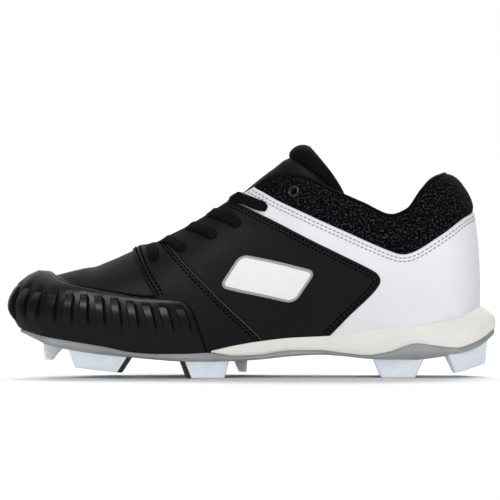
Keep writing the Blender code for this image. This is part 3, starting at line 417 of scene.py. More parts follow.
def plate_ring(side, u):
    """Half sections of the plate: its middle below, the rounded edge, and its middle above."""
    flare = sole_flare(u)
    tuck = np.minimum(PLATE_TUCK, 2.0 + np.abs(u) / 60)
    low = sole_point(side, u, flare - tuck, surface="under")
    top = sole_point(side, u, flare - 0.7, surface="joint")
    tall = top[:, 2] - low[:, 2]
    rows = [sole_point(side, u, None, surface="under")]
    for inset, recess in PLATE_UNDERSIDE:
        row = sole_point(side, u, flare - tuck - inset, surface="under")
        row[:, 2] += recess * PLATE_RECESS
        rows.append(row)
    rows[0][:, 2] += PLATE_RECESS
    for share, outset in PLATE_EDGE:
        lean = np.interp(share, (0, 0.55, 1), (0, 1, 1)) * (tuck - 0.4 - 1.0)
        row = sole_point(side, u, flare - tuck + lean + outset - 0.3, z=0)
        row[:, 2] = low[:, 2] + share * tall
        rows.append(row)
    for inset in (3.0, 16.0):
        rows.append(sole_point(side, u, flare - 0.7 - inset, surface="joint"))
    rows.append(sole_point(side, u, None, surface="joint"))
    return np.stack(rows, axis=1)


plate_u = girth_steps(TOE_U, HEEL_U, SOLE_STEP)
plate_rings = np.concatenate([plate_ring(side, u) for side, u in round_the_shoe(plate_u)])
add_piece("sole_plate", plate_rings, quads(*plate_rings.shape[:2], rows_joined=True), [moulded_nylon],
          ["outsole_plate"], sharp=50)


# Studs: blades moulded in pale, faintly clear urethane and fixed under the plate. They taper to a
# flat foot with rounded edges, and the pair at the ball has one end face coloured dark grey.
STUD_PALE = "dbe5f0"
STUD_WHITE = "ebf1f7"
STUD_DARK = "2b2e30"
STUD_CLOUD_MM = 9
STUD_SPECK_MM = 1.2
STUD_END_GRAIN_MM = 0.9
STUD_NAMES = "name side top_0 top_1 foot_0 foot_1 inset wide thin z_0 z_1 dark_end".split()
STUDS = (
    ("front_medial", MEDIAL, -111.0, -69.2, -106.6, -75.6, 8.0, 8.5, 5.0, 6.4, 3.2, 1),
    ("front_lateral", LATERAL, -105.0, -70.0, -101.0, -77.0, 8.0, 8.5, 5.0, 6.2, 3.4, 1),
    ("mid_medial", MEDIAL, -43.4, -13.2, -39.2, -16.0, 8.0, 9.0, 5.5, 0.0, 0.0, -1),
    ("mid_lateral", LATERAL, -44.0, -15.4, -37.5, -18.2, 8.0, 9.0, 5.5, 0.0, 0.0, -1),
    ("waist_lateral", LATERAL, -12.0, -2.4, -7.8, -3.2, 9.0, 9.0, 5.0, 1.4, 1.4, 0),
    ("heel_medial", MEDIAL, 70.4, 101.2, 75.6, 96.0, 8.5, 9.0, 5.5, 0.0, 0.0, 0),
    ("heel_lateral", LATERAL, 70.4, 101.2, 75.6, 96.0, 8.5, 9.0, 5.5, 0.0, 0.0, 0),
    ("rear_medial", MEDIAL, 115.0, 146.5, 120.5, 146.0, 6.6, 7.2, 4.8, 2.8, 7.6, 0),
    ("rear_lateral", LATERAL, 115.0, 146.5, 120.5, 146.0, 6.6, 7.2, 4.8, 2.8, 7.6, 0),
)
TOE_STUD_TOP = ((-123.2, -110.0), (-11.0, 5.0))
TOE_STUD_FOOT = ((-121.8, -117.0), (-8.0, 2.0))
TOE_STUD_Z = 9.9
STUD_CORNER = 1.5
STUD_END_SLANT = 2.2
STUD_LEVELS = (0.0, 0.03, 0.08, 0.16, 0.35, 0.55, 0.75, 0.9)
STUD_FOOT_ROUND = 0.7
STUD_ROOT_FLARE = 0.9
STUD_ROOT_SHARE = 0.14
STUD_ROOT_Z = PLATE_RECESS + 0.3

# Cast urethane: glossy, and lit a little from inside, so its thin edges look whiter than its middle.
cast_urethane, tree = new_finish("cast_urethane_pale")
place = add_node(tree, "TexCoord").outputs["Object"]
cloud = add_node(tree, "TexNoise", {"Vector": place, "Scale": per_mm(STUD_CLOUD_MM), "Detail": 2.0})
fine = add_node(tree, "TexNoise", {"Vector": place, "Scale": per_mm(STUD_SPECK_MM), "Detail": 2.0})
colour = add_node(tree, "Mix", {0: cloud.outputs["Fac"], 6: linear(STUD_PALE), 7: linear(STUD_WHITE)},
                  data_type="RGBA")
gloss = add_node(tree, "MapRange", {0: fine.outputs["Fac"], 1: 0.3, 2: 0.7, 3: 0.2, 4: 0.32})
bump = add_node(tree, "Bump", {"Strength": 0.05, "Distance": 0.0002, "Height": fine.outputs["Fac"]})
shader = add_node(tree, "BsdfPrincipled", {
    "Base Color": colour.outputs[2], "Roughness": gloss.outputs[0], "IOR": 1.5, "Subsurface Weight": 0.35,
    "Subsurface Radius": (0.8, 0.9, 1.0), "Subsurface Scale": 0.003,
    "Coat Weight": 0.2, "Coat Roughness": 0.15,
    "Normal": bump.outputs[0]})
add_node(tree, "OutputMaterial", {"Surface": shader.outputs[0]})

# The dark end faces of the blades: the same urethane coloured dark grey, a little duller.
dark_urethane, tree = new_finish("urethane_dark_end")
place = add_node(tree, "TexCoord").outputs["Object"]
fine = add_node(tree, "TexNoise", {"Vector": place, "Scale": per_mm(STUD_END_GRAIN_MM), "Detail": 3.0})
gloss = add_node(tree, "MapRange", {0: fine.outputs["Fac"], 1: 0.3, 2: 0.7, 3: 0.32, 4: 0.45})
bump = add_node(tree, "Bump", {"Strength": 0.08, "Distance": 0.0002, "Height": fine.outputs["Fac"]})
shader = add_node(tree, "BsdfPrincipled", {
    "Base Color": linear(STUD_DARK), "Roughness": gloss.outputs[0], "IOR": 1.5, "Normal": bump.outputs[0]})
add_node(tree, "OutputMaterial", {"Surface": shader.outputs[0]})


def stud_outline(length, half, corner, slants=(0.0, 0.0)):
    """A rounded bar in plan: places along it from -1 to 1 ends, across it, and the end each is on."""
    along, across, ends = [], [], []
    for x_sign, y_sign in ((1, -1), (1, 1), (-1, 1), (-1, -1)):
        first = math.atan2(y_sign, x_sign) - math.pi / 4
        for turn in first + np.linspace(0, math.pi / 2, 6):
            along.append(x_sign * (length / 2 - corner) + corner * math.cos(turn))
            across.append(y_sign * (half - corner) + corner * math.sin(turn))
            ends.append(x_sign)
    along, across, ends = np.array(along), np.array(across), np.array(ends)
    for end, slant in zip((-1, 1), slants):
        along = np.where(ends == end, along - end * slant * (across / half + 1) / 2, along)
    return along, across, ends


def stud_rows(place_at, slants, lengths, halves):
    """Rings of a stud from its root to its foot, and the middle rings of the foot's face."""
    rings = []
    levels = [(share, 0.0, 0.0) for share in STUD_LEVELS]
    for turn in np.linspace(math.pi / 8, math.pi / 2, 4):
        levels.append((1.0, STUD_FOOT_ROUND * (1 - math.sin(turn)), STUD_FOOT_ROUND * (1 - math.cos(turn))))
    for share, lift, inset in levels:
        flare = STUD_ROOT_FLARE * max(0.0, 1 - share / STUD_ROOT_SHARE) ** 2
        length = lengths[0] + (lengths[1] - lengths[0]) * share + 2 * (flare - inset)
        half = halves[0] + (halves[1] - halves[0]) * share + flare - inset
        along, across, ends = stud_outline(length, half, min(STUD_CORNER, 0.8 * half), slants)
        rings.append(place_at(along / length + 0.5, across, share, lift))
    for shrink in (0.6, 0.2):
        rings.append(place_at(along * shrink / length + 0.5, across * shrink, 1.0, 0.0))
    return np.stack(rings), ends


def add_stud(name, rings, ends, dark_end):
    rows, count = rings.shape[:2]
    faces = tube(rows, count)
    on_end = [ends[j] == dark_end and ends[(j + 1) % count] == dark_end for j in range(count)]
    finish = np.append(np.tile(on_end, rows - 1), [False, False]) if dark_end else np.zeros(len(faces))
    add_piece(f"stud_{name}", rings, faces, [cast_urethane, dark_urethane], [f"cleat_{name}"],
              finish.astype(int), sharp=60)


for row in STUDS:
    stud = dict(zip(STUD_NAMES, row))

    def on_blade(along, across, share, lift, stud=stud):
        """A blade bends with the plate's edge and narrows from its root to its foot."""
        root = stud["top_0"] + (stud["top_1"] - stud["top_0"]) * along
        foot = stud["foot_0"] + (stud["foot_1"] - stud["foot_0"]) * along
        u = root + (foot - root) * share
        points = sole_point(stud["side"], u, sole_flare(u) - stud["inset"] + across, surface="under")
        foot_z = stud["z_0"] + (stud["z_1"] - stud["z_0"]) * np.clip(along, 0, 1) + lift
        points[:, 2] += STUD_ROOT_Z
        points[:, 2] += (foot_z - points[:, 2]) * share
        return points

    slants = [STUD_END_SLANT if stud["dark_end"] == end else 0.0 for end in (-1, 1)]
    lengths = (stud["top_1"] - stud["top_0"], stud["foot_1"] - stud["foot_0"])
    rings, ends = stud_rows(on_blade, slants, lengths, (stud["wide"] / 2, stud["thin"] / 2))
    add_stud(stud["name"], rings, ends, stud["dark_end"])


def on_toe_stud(along, across, share, lift):
    """The short stud under the toe is a plain tapered block."""
    (x_0, x_1), (y_0, y_1) = [np.array(t) + (np.array(f) - np.array(t)) * share
                              for t, f in zip(TOE_STUD_TOP, TOE_STUD_FOOT)]
    x = x_0 + (x_1 - x_0) * along
    root_z = level["under"](x) + STUD_ROOT_Z
    return np.stack([x, (y_0 + y_1) / 2 + across, root_z + (TOE_STUD_Z + lift - root_z) * share], axis=-1)


toe_lengths = [x_1 - x_0 for (x_0, x_1), _ in (TOE_STUD_TOP, TOE_STUD_FOOT)]
toe_halves = [(y_1 - y_0) / 2 for _, (y_0, y_1) in (TOE_STUD_TOP, TOE_STUD_FOOT)]
add_stud("toe", *stud_rows(on_toe_stud, (0, 0), toe_lengths, toe_halves), 0)


# Foam wedge: moulded EVA foam, painted off-white, that lifts the heel and cups it. It is glued
# between the plate and the upper, and its lip stands a little proud of the upper.
FOAM_WHITE = "e9e7e3"
FOAM_SHADE = "dddbd6"
WEDGE_FRONT_X = -24.0
WEDGE_LIP = 2.1
WEDGE_LIP_CROWN = ((0.35, 0.25), (0.75, 0.1))
FOAM_STIPPLE_MM = 0.8
FOAM_CLOUD_MM = 30

# Painted foam: matt, with the fine stipple of the mould. The stipple is drawn coarser than its
# real third of a millimetre, so that it shows.
painted_foam, tree = new_finish("painted_eva_foam")
place = add_node(tree, "TexCoord").outputs["Object"]
stipple = add_node(tree, "TexVoronoi", {"Vector": place, "Scale": per_mm(FOAM_STIPPLE_MM)})
broad = add_node(tree, "TexNoise", {"Vector": place, "Scale": per_mm(FOAM_CLOUD_MM), "Detail": 3.0})
colour = add_node(tree, "Mix", {0: broad.outputs["Fac"], 6: linear(FOAM_WHITE), 7: linear(FOAM_SHADE)},
                  data_type="RGBA")
bump = add_node(tree, "Bump", {"Strength": 0.16, "Distance": 0.0002, "Height": stipple.outputs["Distance"]})
gloss = add_node(tree, "MapRange", {0: broad.outputs["Fac"], 1: 0.3, 2: 0.7, 3: 0.5, 4: 0.62})
shader = add_node(tree, "BsdfPrincipled", {
    "Base Color": colour.outputs[2], "Roughness": gloss.outputs[0], "IOR": 1.45, "Normal": bump.outputs[0]})
add_node(tree, "OutputMaterial", {"Surface": shader.outputs[0]})


def wedge_ring(side, u):
    """Half sections of the wedge: floor of the cup, inner wall, lip, bulging side and underside."""
    flare = sole_flare(u)
    rim_z = level["rim"](sole_point(side, u, 0.0, z=0)[:, 0])
    rim_s = rise_at(side, u, rim_z)
    foot = sole_point(side, u, flare - 0.7, surface="joint") + (0, 0, GAP)
    cup = [sole_point(side, u, None, surface="floor"), sole_point(side, u, -16.0, surface="floor")]
    base = skin(side, u, 0 * rim_s, GAP + 0 * rim_s)
    base[:, 2] = level["floor"](base[:, 0])
    cup += [base, skin(side, u, 0.5 * rim_s, GAP + 0 * rim_s), skin(side, u, 0.9 * rim_s, GAP + 0 * rim_s)]
    lip = skin(side, u, rim_s, WEDGE_LIP + 0 * rim_s)
    lip[:, 2] = rim_z - 0.2
    tall = lip[:, 2] - foot[:, 2]
    lip_inner = skin(side, u, rim_s, GAP + 0 * rim_s)
    lip_inner[:, 2] = lip[:, 2]
    belly = sole_point(side, u, flare, z=foot[:, 2] + 0.22 * tall)
    shoulder = sole_point(side, u, flare * 0.8 + 0.3, z=foot[:, 2] + 0.62 * tall)
    rows = [*cup, lip_inner]
    rows += [lip_inner + (lip - lip_inner) * share + (0, 0, crown) for share, crown in WEDGE_LIP_CROWN]
    frame_line = np.stack([2 * lip - shoulder, lip, shoulder, belly, foot, 2 * foot - belly])
    side_rows = spline_through(frame_line.reshape(6, -1), 6).reshape(-1, len(u), 3)
    rows += list(side_rows)
    rows.append(sole_point(side, u, flare - 1.5, surface="joint") + (0, 0, GAP * 0.2))
    rows.append(sole_point(side, u, -16.0, surface="joint") + (0, 0, GAP))
    rows.append(sole_point(side, u, None, surface="joint") + (0, 0, GAP))
    return np.stack(rows, axis=1)


wedge_u = girth_steps(WEDGE_FRONT_X, HEEL_U, SOLE_STEP)
wedge_rings = np.concatenate([wedge_ring(MEDIAL, wedge_u), wedge_ring(LATERAL, wedge_u[-2::-1])])
wedge_rows, wedge_count = wedge_rings.shape[:2]
wedge_faces = quads(wedge_rows, wedge_count)
wedge_last = (wedge_rows - 1) * wedge_count
wedge_faces += [(j, j + 1, wedge_last + j + 1, wedge_last + j) for j in range(wedge_count - 1)]
add_piece("foam_wedge", wedge_rings, wedge_faces, [painted_foam], ["midsole"], sharp=50)


# Insole: a thin sock of foam with a knitted cover, die-cut to the floor of the shoe. It is laid in
# loose, so that it can be taken out to dry.
INSOLE = 3.5
INSOLE_ROWS = ((16.0, GAP), (0.5, GAP), (0.0, 1.0), (0.0, INSOLE - 1.0), (0.4, INSOLE - 0.2), (1.2, INSOLE),
               (4.0, INSOLE - 0.6), (7.0, INSOLE - 1.0), (16.0, INSOLE - 1.0))
INSOLE_DARK = "141416"
INSOLE_THREAD = "2b2b2e"
UPPER_WALL = 2.2
COVER_KNIT_MM = 1.3

# Knitted cover: matt black with a close, even pattern of loops.
insole_cover, tree = new_finish("knitted_insole_cover")
place = add_node(tree, "TexCoord").outputs["Object"]
loops = add_node(tree, "TexVoronoi", {"Vector": place, "Scale": per_mm(COVER_KNIT_MM), "Randomness": 0.35})
colour = add_node(tree, "Mix", {
    0: loops.outputs["Distance"], 6: linear(INSOLE_THREAD), 7: linear(INSOLE_DARK)}, data_type="RGBA")
bump = add_node(tree, "Bump", {"Strength": 0.4, "Distance": 0.0003, "Height": loops.outputs["Distance"]},
                invert=True)
shader = add_node(tree, "BsdfPrincipled", {
    "Base Color": colour.outputs[2], "Roughness": 0.9, "Sheen Weight": 0.15, "Normal": bump.outputs[0]})
add_node(tree, "OutputMaterial", {"Surface": shader.outputs[0]})


def insole_ring(side, u):
    edge = -section["tuck"](u) - UPPER_WALL - 0.9
    rows = [sole_point(side, u, None, surface="floor") + (0, 0, GAP)]
    for inset, rise in INSOLE_ROWS:
        rows.append(sole_point(side, u, edge - inset, surface="floor") + (0, 0, rise))
    rows.append(sole_point(side, u, None, surface="floor") + (0, 0, INSOLE - 1.0))
    return np.stack(rows, axis=1)


insole_u = girth_steps(TOE_U, HEEL_U, 2.5)
insole_rings = np.concatenate([insole_ring(side, u) for side, u in round_the_shoe(insole_u)])
add_piece("insole_sock", insole_rings, quads(*insole_rings.shape[:2], rows_joined=True), [insole_cover],
          ["insole"], sharp=50)


# Upper: one lasted shell. The vamp in front is smooth black synthetic leather, the collar behind is
# padded black spacer mesh, and a fine knit lines the inside. Six holes a side are punched for the lace.
LEATHER_BLACK = "151517"
LEATHER_LIT = "1b1b1d"
LEATHER_CUT_HIGHLIGHT = "4c4c4f"
MESH_BLACK = "030304"
MESH_GLINT_THREAD = "38383d"
LINING_BLACK = "0b0b0c"
LINING_NAP = "2c2c30"
COLLAR_PAD = 3.8
MESH_FROM_U = -22.0
LEATHER_GRAIN_MM = 1.1
LEATHER_BEND_MM = 3
LEATHER_CLOUD_MM = 24
MESH_LOOP_MM = 1.25
MESH_GLINT_MM = 1.333
LINING_RIB_MM = 0.897
LINING_NAP_MM = 0.833
# A wave texture of scale 1 repeats at this length.
WAVE_BAND = 0.314
EYELETS = ((-57.4, 70.2), (-41.7, 75.6), (-24.0, 83.6), (-10.0, 90.8), (5.6, 100.0), (24.6, 109.3))
EYELET_HOLE = 2.2

# Soft troughs and ridges of the lasted leather: girth, height, turn in degrees, half length, half
# width and depth. A trough is below zero.
SOFT_FORMS = table("u z turn length width depth", (
    (-76, 66, 20, 20, 7, -0.5), (-86, 58, 15, 16, 6, 0.35), (-44, 60, -52, 16, 6, -0.45),
    (-34, 44, -40, 20, 8, 0.4), (-28, 72, -30, 22, 6, 0.35), (18, 72, -24, 26, 7, 0.4),
    (34, 42, 40, 24, 9, -0.5), (0, 38, -40, 18, 8, 0.35), (60, 88, -24, 22, 8, 0.5),
    (100, 60, 80, 24, 12, 0.4), (86, 86, 0, 12, 6, -0.5), (-27, 35, -73, 10, 2.5, -0.6),
))


def soft_form(u, z):
    """Height of the soft troughs and ridges at a place of the upper."""
    found = 0 * u
    for centre_u, centre_z, turn, length, width, depth in zip(*SOFT_FORMS.values()):
        c, s = math.cos(math.radians(turn)), math.sin(math.radians(turn))
        along = (u - centre_u) * c + (z - centre_z) * s
        across = (z - centre_z) * c - (u - centre_u) * s
        found = found + depth * np.exp(-((along / length) ** 2) - (across / width) ** 2)
    return found


def wall_depth(u, s):
    """Thickness of the upper: thin leather, with foam round the collar."""
    padded = ease(u, 14, 40) * ease(s, 0.45, 0.75) * (1 - 0.85 * ease(s, 0.86, 1.0))
    return UPPER_WALL + COLLAR_PAD * padded - 0.7 * ease(u, 14, 40) * ease(s, 0.9, 1.0)


# Smooth synthetic leather: a fine pebble under a thin clear finish, so the lights spread in broad
# soft highlights. The pebble is drawn about twice its real half millimetre. A cut edge shows paler:
# partly the raw edge's own colour, partly a painted highlight where its rounding catches the light.
black_leather, tree = new_finish("black_synthetic_leather")
place = add_node(tree, "TexCoord").outputs["Object"]
bend = add_node(tree, "TexNoise", {"Vector": place, "Scale": per_mm(LEATHER_BEND_MM), "Detail": 3.0})
pebble = add_node(tree, "TexVoronoi", {"Vector": place, "Scale": per_mm(LEATHER_GRAIN_MM)},
                  feature="SMOOTH_F1")
broad = add_node(tree, "TexNoise", {"Vector": place, "Scale": per_mm(LEATHER_CLOUD_MM), "Detail": 3.0})
height = add_node(tree, "Math", {0: pebble.outputs["Distance"], 1: 0.6, 2: bend.outputs["Fac"]},
                  operation="MULTIPLY_ADD")
# Pale band on the cut edge's rounding: partly the raw edge's colour, partly a painted highlight.
cut = add_node(tree, "Attribute", attribute_name="edge").outputs["Fac"]
face = add_node(tree, "Mix", {0: broad.outputs["Fac"], 6: linear(LEATHER_BLACK), 7: linear(LEATHER_LIT)},
                data_type="RGBA")
colour = add_node(tree, "Mix", {0: cut, 6: face.outputs[2], 7: linear(LEATHER_CUT_HIGHLIGHT)}, data_type="RGBA")
gloss = add_node(tree, "MapRange", {0: broad.outputs["Fac"], 1: 0.3, 2: 0.7, 3: 0.46, 4: 0.56})
bump = add_node(tree, "Bump", {"Strength": 0.14, "Distance": 0.0003, "Height": height.outputs[0]})
shader = add_node(tree, "BsdfPrincipled", {
    "Base Color": colour.outputs[2], "Roughness": gloss.outputs[0], "IOR": 1.5, "Specular IOR Level": 0.15,
    "Coat Weight": 0.02, "Coat Roughness": 0.3, "Normal": bump.outputs[0]})
add_node(tree, "OutputMaterial", {"Surface": shader.outputs[0]})

# Spacer mesh: dark open loops of matt yarn, with a few threads painted brighter as glints of light.
spacer_mesh, tree = new_finish("black_spacer_mesh")
place = add_node(tree, "UVMap", uv_map="pattern").outputs[0]
holes = add_node(tree, "TexVoronoi", {"Vector": place, "Scale": 1 / MESH_LOOP_MM, "Randomness": 0.45})
glint = add_node(tree, "TexNoise", {"Vector": place, "Scale": 1 / MESH_GLINT_MM, "Detail": 2.0})
yarn = add_node(tree, "MapRange", {0: holes.outputs["Distance"], 1: 0.38, 2: 0.6, 3: 0.0, 4: 1.0})
# Painted glints: yarn where the noise is high is coloured brighter, as if catching the light.
bright = add_node(tree, "MapRange", {0: glint.outputs["Fac"], 1: 0.48, 2: 0.62, 3: 0.0, 4: 1.0})
thread = add_node(tree, "Math", {0: yarn.outputs[0], 1: bright.outputs[0]}, operation="MULTIPLY")
colour = add_node(tree, "Mix", {0: thread.outputs[0], 6: linear(MESH_BLACK), 7: linear(MESH_GLINT_THREAD)},
                  data_type="RGBA")
bump = add_node(tree, "Bump", {"Strength": 0.7, "Distance": 0.0006, "Height": holes.outputs["Distance"]})
shader = add_node(tree, "BsdfPrincipled", {
    "Base Color": colour.outputs[2], "Roughness": 0.75, "Specular IOR Level": 0.07, "Sheen Weight": 0.005,
    "Sheen Roughness": 0.5, "Normal": bump.outputs[0]})
add_node(tree, "OutputMaterial", {"Surface": shader.outputs[0]})

# Lining: brushed tricot, matt and slightly furry, with fine ribs.
tricot_lining, tree = new_finish("black_tricot_lining")
place = add_node(tree, "UVMap", uv_map="pattern").outputs[0]
ribs = add_node(tree, "TexWave", {
    "Vector": place, "Scale": WAVE_BAND / LINING_RIB_MM, "Distortion": 1.5, "Detail": 2.0})
nap = add_node(tree, "TexNoise", {"Vector": place, "Scale": 1 / LINING_NAP_MM, "Detail": 3.0})
colour = add_node(tree, "Mix", {0: nap.outputs["Fac"], 6: linear(LINING_BLACK), 7: linear(LINING_NAP)},
                  data_type="RGBA")
bump = add_node(tree, "Bump", {"Strength": 0.25, "Distance": 0.0003, "Height": ribs.outputs["Fac"]})
shader = add_node(tree, "BsdfPrincipled", {
    "Base Color": colour.outputs[2], "Roughness": 0.95, "Specular IOR Level": 0.15,
    "Sheen Weight": 0.05, "Sheen Roughness": 0.4,
    "Normal": bump.outputs[0]})
add_node(tree, "OutputMaterial", {"Surface": shader.outputs[0]})


def hump(value, middle, width):
    """A soft round hump, 1 at its middle."""
    return np.exp(-(((value - middle) / width) ** 2))


def tape_width(u):
    """Width of the tape on the outside of the collar, wider where the edge climbs to the heel."""
    return 2.7 + 2.4 * hump(u, 102.0, 9.0)


def collar_relief(u, a, top):
    """The collar's padding: a soft roll below the tape's seam, and a fuller one above the heel panel."""
    down = top - a
    seam = hump(down, tape_width(u) + 0.3, 0.6) * (0.9 - 0.6 * ease(u, 112, 128))
    roll = 0.9 * hump(down, 13.0, 8.0)
    heel = 1.8 * ease(down, 13, 25) * (1 - ease(down, 28, 32)) * ease(u, 112, 140)
    return ease(u, 18, 40) * (roll - seam) + heel


def upper_sheet(side, u, rise, inside):
    """Rows of points of the outer or inner face of the upper, and their place on the flat pattern."""
    s = np.broadcast_to(rise, (len(u), len(rise)))
    wide = np.broadcast_to(u[:, None], s.shape)
    flat_arcs = arcs(side, u)
    a = np.stack([np.interp(rise, RISES, row) for row in flat_arcs])
    z = last(side, u[:, None], rise)[..., 2]
    if inside:
        offset = -wall_depth(wide, s)
    else:
        top = flat_arcs[:, -1][:, None]
        offset = (soft_form(wide, z) + collar_relief(wide, a, top)) * ease(1 - s, 0.0, 0.05)
        offset = offset * (1 - ease(s, 0.9, 1.0) * (wide < THROAT_FRONT_X))
    return skin(side, wide, s, offset), np.stack([wide, a], axis=-1)


throat_front = THROAT_FRONT_X + np.array([0.0, 0.04, 0.15, 0.4, 0.8, 1.4, 2.2])
upper_u = np.concatenate([girth_steps(TOE_U, THROAT_FRONT_X, 1.6)[:-1], throat_front,
                          girth_steps(THROAT_FRONT_X + 3.2, HEEL_U, 1.3)])
outer_rise = np.concatenate([np.linspace(0, 0.9, 46), np.linspace(0.915, 1, 14)])
inner_rise = np.linspace(1, 0, 30)
upper_points, upper_pattern = [], []
for side, u in round_the_shoe(upper_u):
    sheets = [upper_sheet(side, u, outer_rise, False), upper_sheet(side, u, inner_rise, True)]
    upper_points.append(np.concatenate([sheet[0] for sheet in sheets], axis=1))
    upper_pattern.append(np.concatenate([sheet[1] for sheet in sheets], axis=1))
upper_points, upper_pattern = np.concatenate(upper_points), np.concatenate(upper_pattern)
upper_rows, upper_count = upper_points.shape[:2]
upper_faces, upper_finish = [], []
rim = len(outer_rise) - 1
for index, face in enumerate(quads(upper_rows, upper_count, rows_joined=True, ring=True)):
    i, j = divmod(index, upper_count)
    girths = upper_pattern[[i, (i + 1) % upper_rows], 0, 0]
    if j == rim and girths.max() <= THROAT_FRONT_X + 1e-6:
        continue
    upper_faces.append(face)
    upper_finish.append((1 if girths.mean() > MESH_FROM_U else 0) if j <= rim else 2)
upper = add_piece("upper_shell", upper_points, upper_faces, [black_leather, spacer_mesh, tricot_lining],
                  ["upper"], upper_finish, upper_pattern, sharp=70)


def eyelet_frame(side, spot):
    """Place and outward normal of an eyelet of the side view."""
    u = np.array([spot[0]])
    s = rise_at(side, u, spot[1])
    return last(side, u, s)[0], normals(side, u, s)[0]


def punch_holes(piece, rows, radius=EYELET_HOLE):
    """Cuts the eyelet holes of some rows through a piece of the upper, on both sides."""
    bm = bmesh.new()
    for side in SIDES:
        for row in rows:
            spot, out = eyelet_frame(side, EYELETS[row])
            turn = Vector(out).to_track_quat("Z", "Y").to_matrix().to_4x4()
            turn.translation = spot * MM
            bmesh.ops.create_cone(bm, cap_ends=True, segments=28, radius1=radius * MM, radius2=radius * MM,
                                  depth=16 * MM, matrix=turn)
    mesh = bpy.data.meshes.new("punch")
    bm.to_mesh(mesh)
    bm.free()
    punch = bpy.data.objects.new("punch", mesh)
    bpy.context.scene.collection.objects.link(punch)
    cut = piece.modifiers.new("punch", "BOOLEAN")
    cut.operation, cut.solver, cut.object = "DIFFERENCE", "EXACT", punch
    graph = bpy.context.evaluated_depsgraph_get()
    old = piece.data
    piece.data = bpy.data.meshes.new_from_object(piece.evaluated_get(graph))
    piece.modifiers.clear()
    bpy.data.meshes.remove(old)
    bpy.data.objects.remove(punch)
    piece.data.name = piece.name


punch_holes(upper, range(6))


# Panels: flat pieces of synthetic leather, die-cut, laid over the upper and sewn down along their
# edges. Each is drawn in the side view, laid out on the flat pattern (girth, height up the wall)
# and meshed there, with close rows along its edges for the rounded cut and the sewn grooves.
PANEL_STEP = 1.5
PANEL_ROWS = (0.12, 0.35, 0.65, *np.arange(0.95, 5.0, 0.3), 5.3, 6.0)
PANEL_UNDERLAP = -0.25


def girth_of(side, x, z):
    """The girth at which the upper passes a point of the side view."""
    if TOE_PIVOT_X <= x <= HEEL_PIVOT_X:
        return x
    tries = np.linspace(HEEL_PIVOT_X, HEEL_U, 60) if x > 0 else np.linspace(TOE_PIVOT_X, TOE_U, 60)
    found = last(side, tries, rise_at(side, tries, z))[:, 0]
    return float(np.interp(abs(x), np.abs(found), tries))


def flat(side, points):
    """Points of the side view laid on the flat pattern."""
    u = np.array([girth_of(side, x, z) for x, z in points])
    z = np.array([z for _, z in points])
    return np.stack([u, arc_of(side, u, rise_at(side, u, z))], axis=1)


def along_rise(side, u, s):
    """The line of the flat pattern at one rise."""
    return np.stack([u, arc_of(side, u, np.full(len(u), s))], axis=1)


def along_rim(side, u, drop):
    """The line of the flat pattern a little below the sole's rim."""
    x = sole_point(side, u, 0.0, z=0)[:, 0]
    return np.stack([u, arc_of(side, u, rise_at(side, u, level["rim"](x) - drop))], axis=1)


def round_line(points, per_span=8):
    """A round curve through all of the points."""
    p = np.asarray(points, float)
    return spline_through([2 * p[0] - p[1], *p, 2 * p[-1] - p[-2]], per_span)


def even(line, step):
    """The same line with its points an even step apart."""
    run = lengths_along(line)
    at = np.linspace(0, run[-1], max(2, int(round(run[-1] / step)) + 1))
    return np.stack([np.interp(at, run, line[:, k]) for k in range(line.shape[1])], axis=1)


def distance_to(line, points):
    """Distance of points of the flat pattern from a line."""
    nearest = np.full(len(points), np.inf)
    for start, end in zip(line[:-1], line[1:]):
        run = end - start
        t = np.clip((points - start) @ run / max(run @ run, 1e-12), 0, 1)
        nearest = np.minimum(nearest, np.linalg.norm(points - start - t[:, None] * run, axis=1))
    return nearest


def inside_of(loop, points):
    """Whether points of the flat pattern lie inside a closed outline."""
    found = np.zeros(len(points), bool)
    for (x_0, y_0), (x_1, y_1) in zip(loop, np.roll(loop, -1, axis=0)):
        crosses = (y_0 > points[:, 1]) != (y_1 > points[:, 1])
        if y_0 != y_1:
            found ^= crosses & (points[:, 0] < x_0 + (points[:, 1] - y_0) / (y_1 - y_0) * (x_1 - x_0))
    return found


def cut_pattern(edges):
    """Points and triangles of a pattern piece, and the steps of its outline that are cut edges."""
    lines = {name: even(line, 1.1) for name, line in edges.items()}
    loop = np.concatenate([line[:-1] for line in lines.values()])
    on_join = np.concatenate([np.full(len(line) - 1, name == "join") for name, line in lines.items()])
    after, before = np.roll(loop, -1, axis=0), np.roll(loop, 1, axis=0)
    run = unit(after - before)
    turning = np.sign(np.sum(loop[:, 0] * after[:, 1] - after[:, 0] * loop[:, 1]))
    inward = np.stack([-run[:, 1], run[:, 0]], axis=1) * turning
    closed = np.concatenate([loop, loop[:1]])
    points = [loop]
    for distance in PANEL_ROWS:
        row = loop + inward * distance
        points.append(row[inside_of(loop, row) & (distance_to(closed, row) > distance - 0.03)])
    low, high = loop.min(0), loop.max(0)
    grid_u, grid_a = np.meshgrid(np.arange(low[0], high[0], PANEL_STEP),
                                 np.arange(low[1], high[1], PANEL_STEP * 0.866))
    grid_u[1::2] += PANEL_STEP / 2
    grid = np.stack([grid_u.ravel(), grid_a.ravel()], axis=1)
    grid = grid[inside_of(loop, grid)]
    points.append(grid[distance_to(closed, grid) > PANEL_ROWS[-1] + 0.5 * PANEL_STEP])
    points = np.concatenate(points)
    count = len(loop)
    border = [(i, (i + 1) % count) for i in range(count)]
    flat_points = [Vector(p) for p in points]
    spots, _, faces, sources, _, _ = geometry.delaunay_2d_cdt(flat_points, border, [], 1, 1e-6)
    number = {source: i for i, group in enumerate(sources) for source in group}
    walls = [(number[i], number[j]) for i, j in border if not on_join[i]]
    return np.array([tuple(v) for v in spots]), [tuple(f) for f in faces], walls


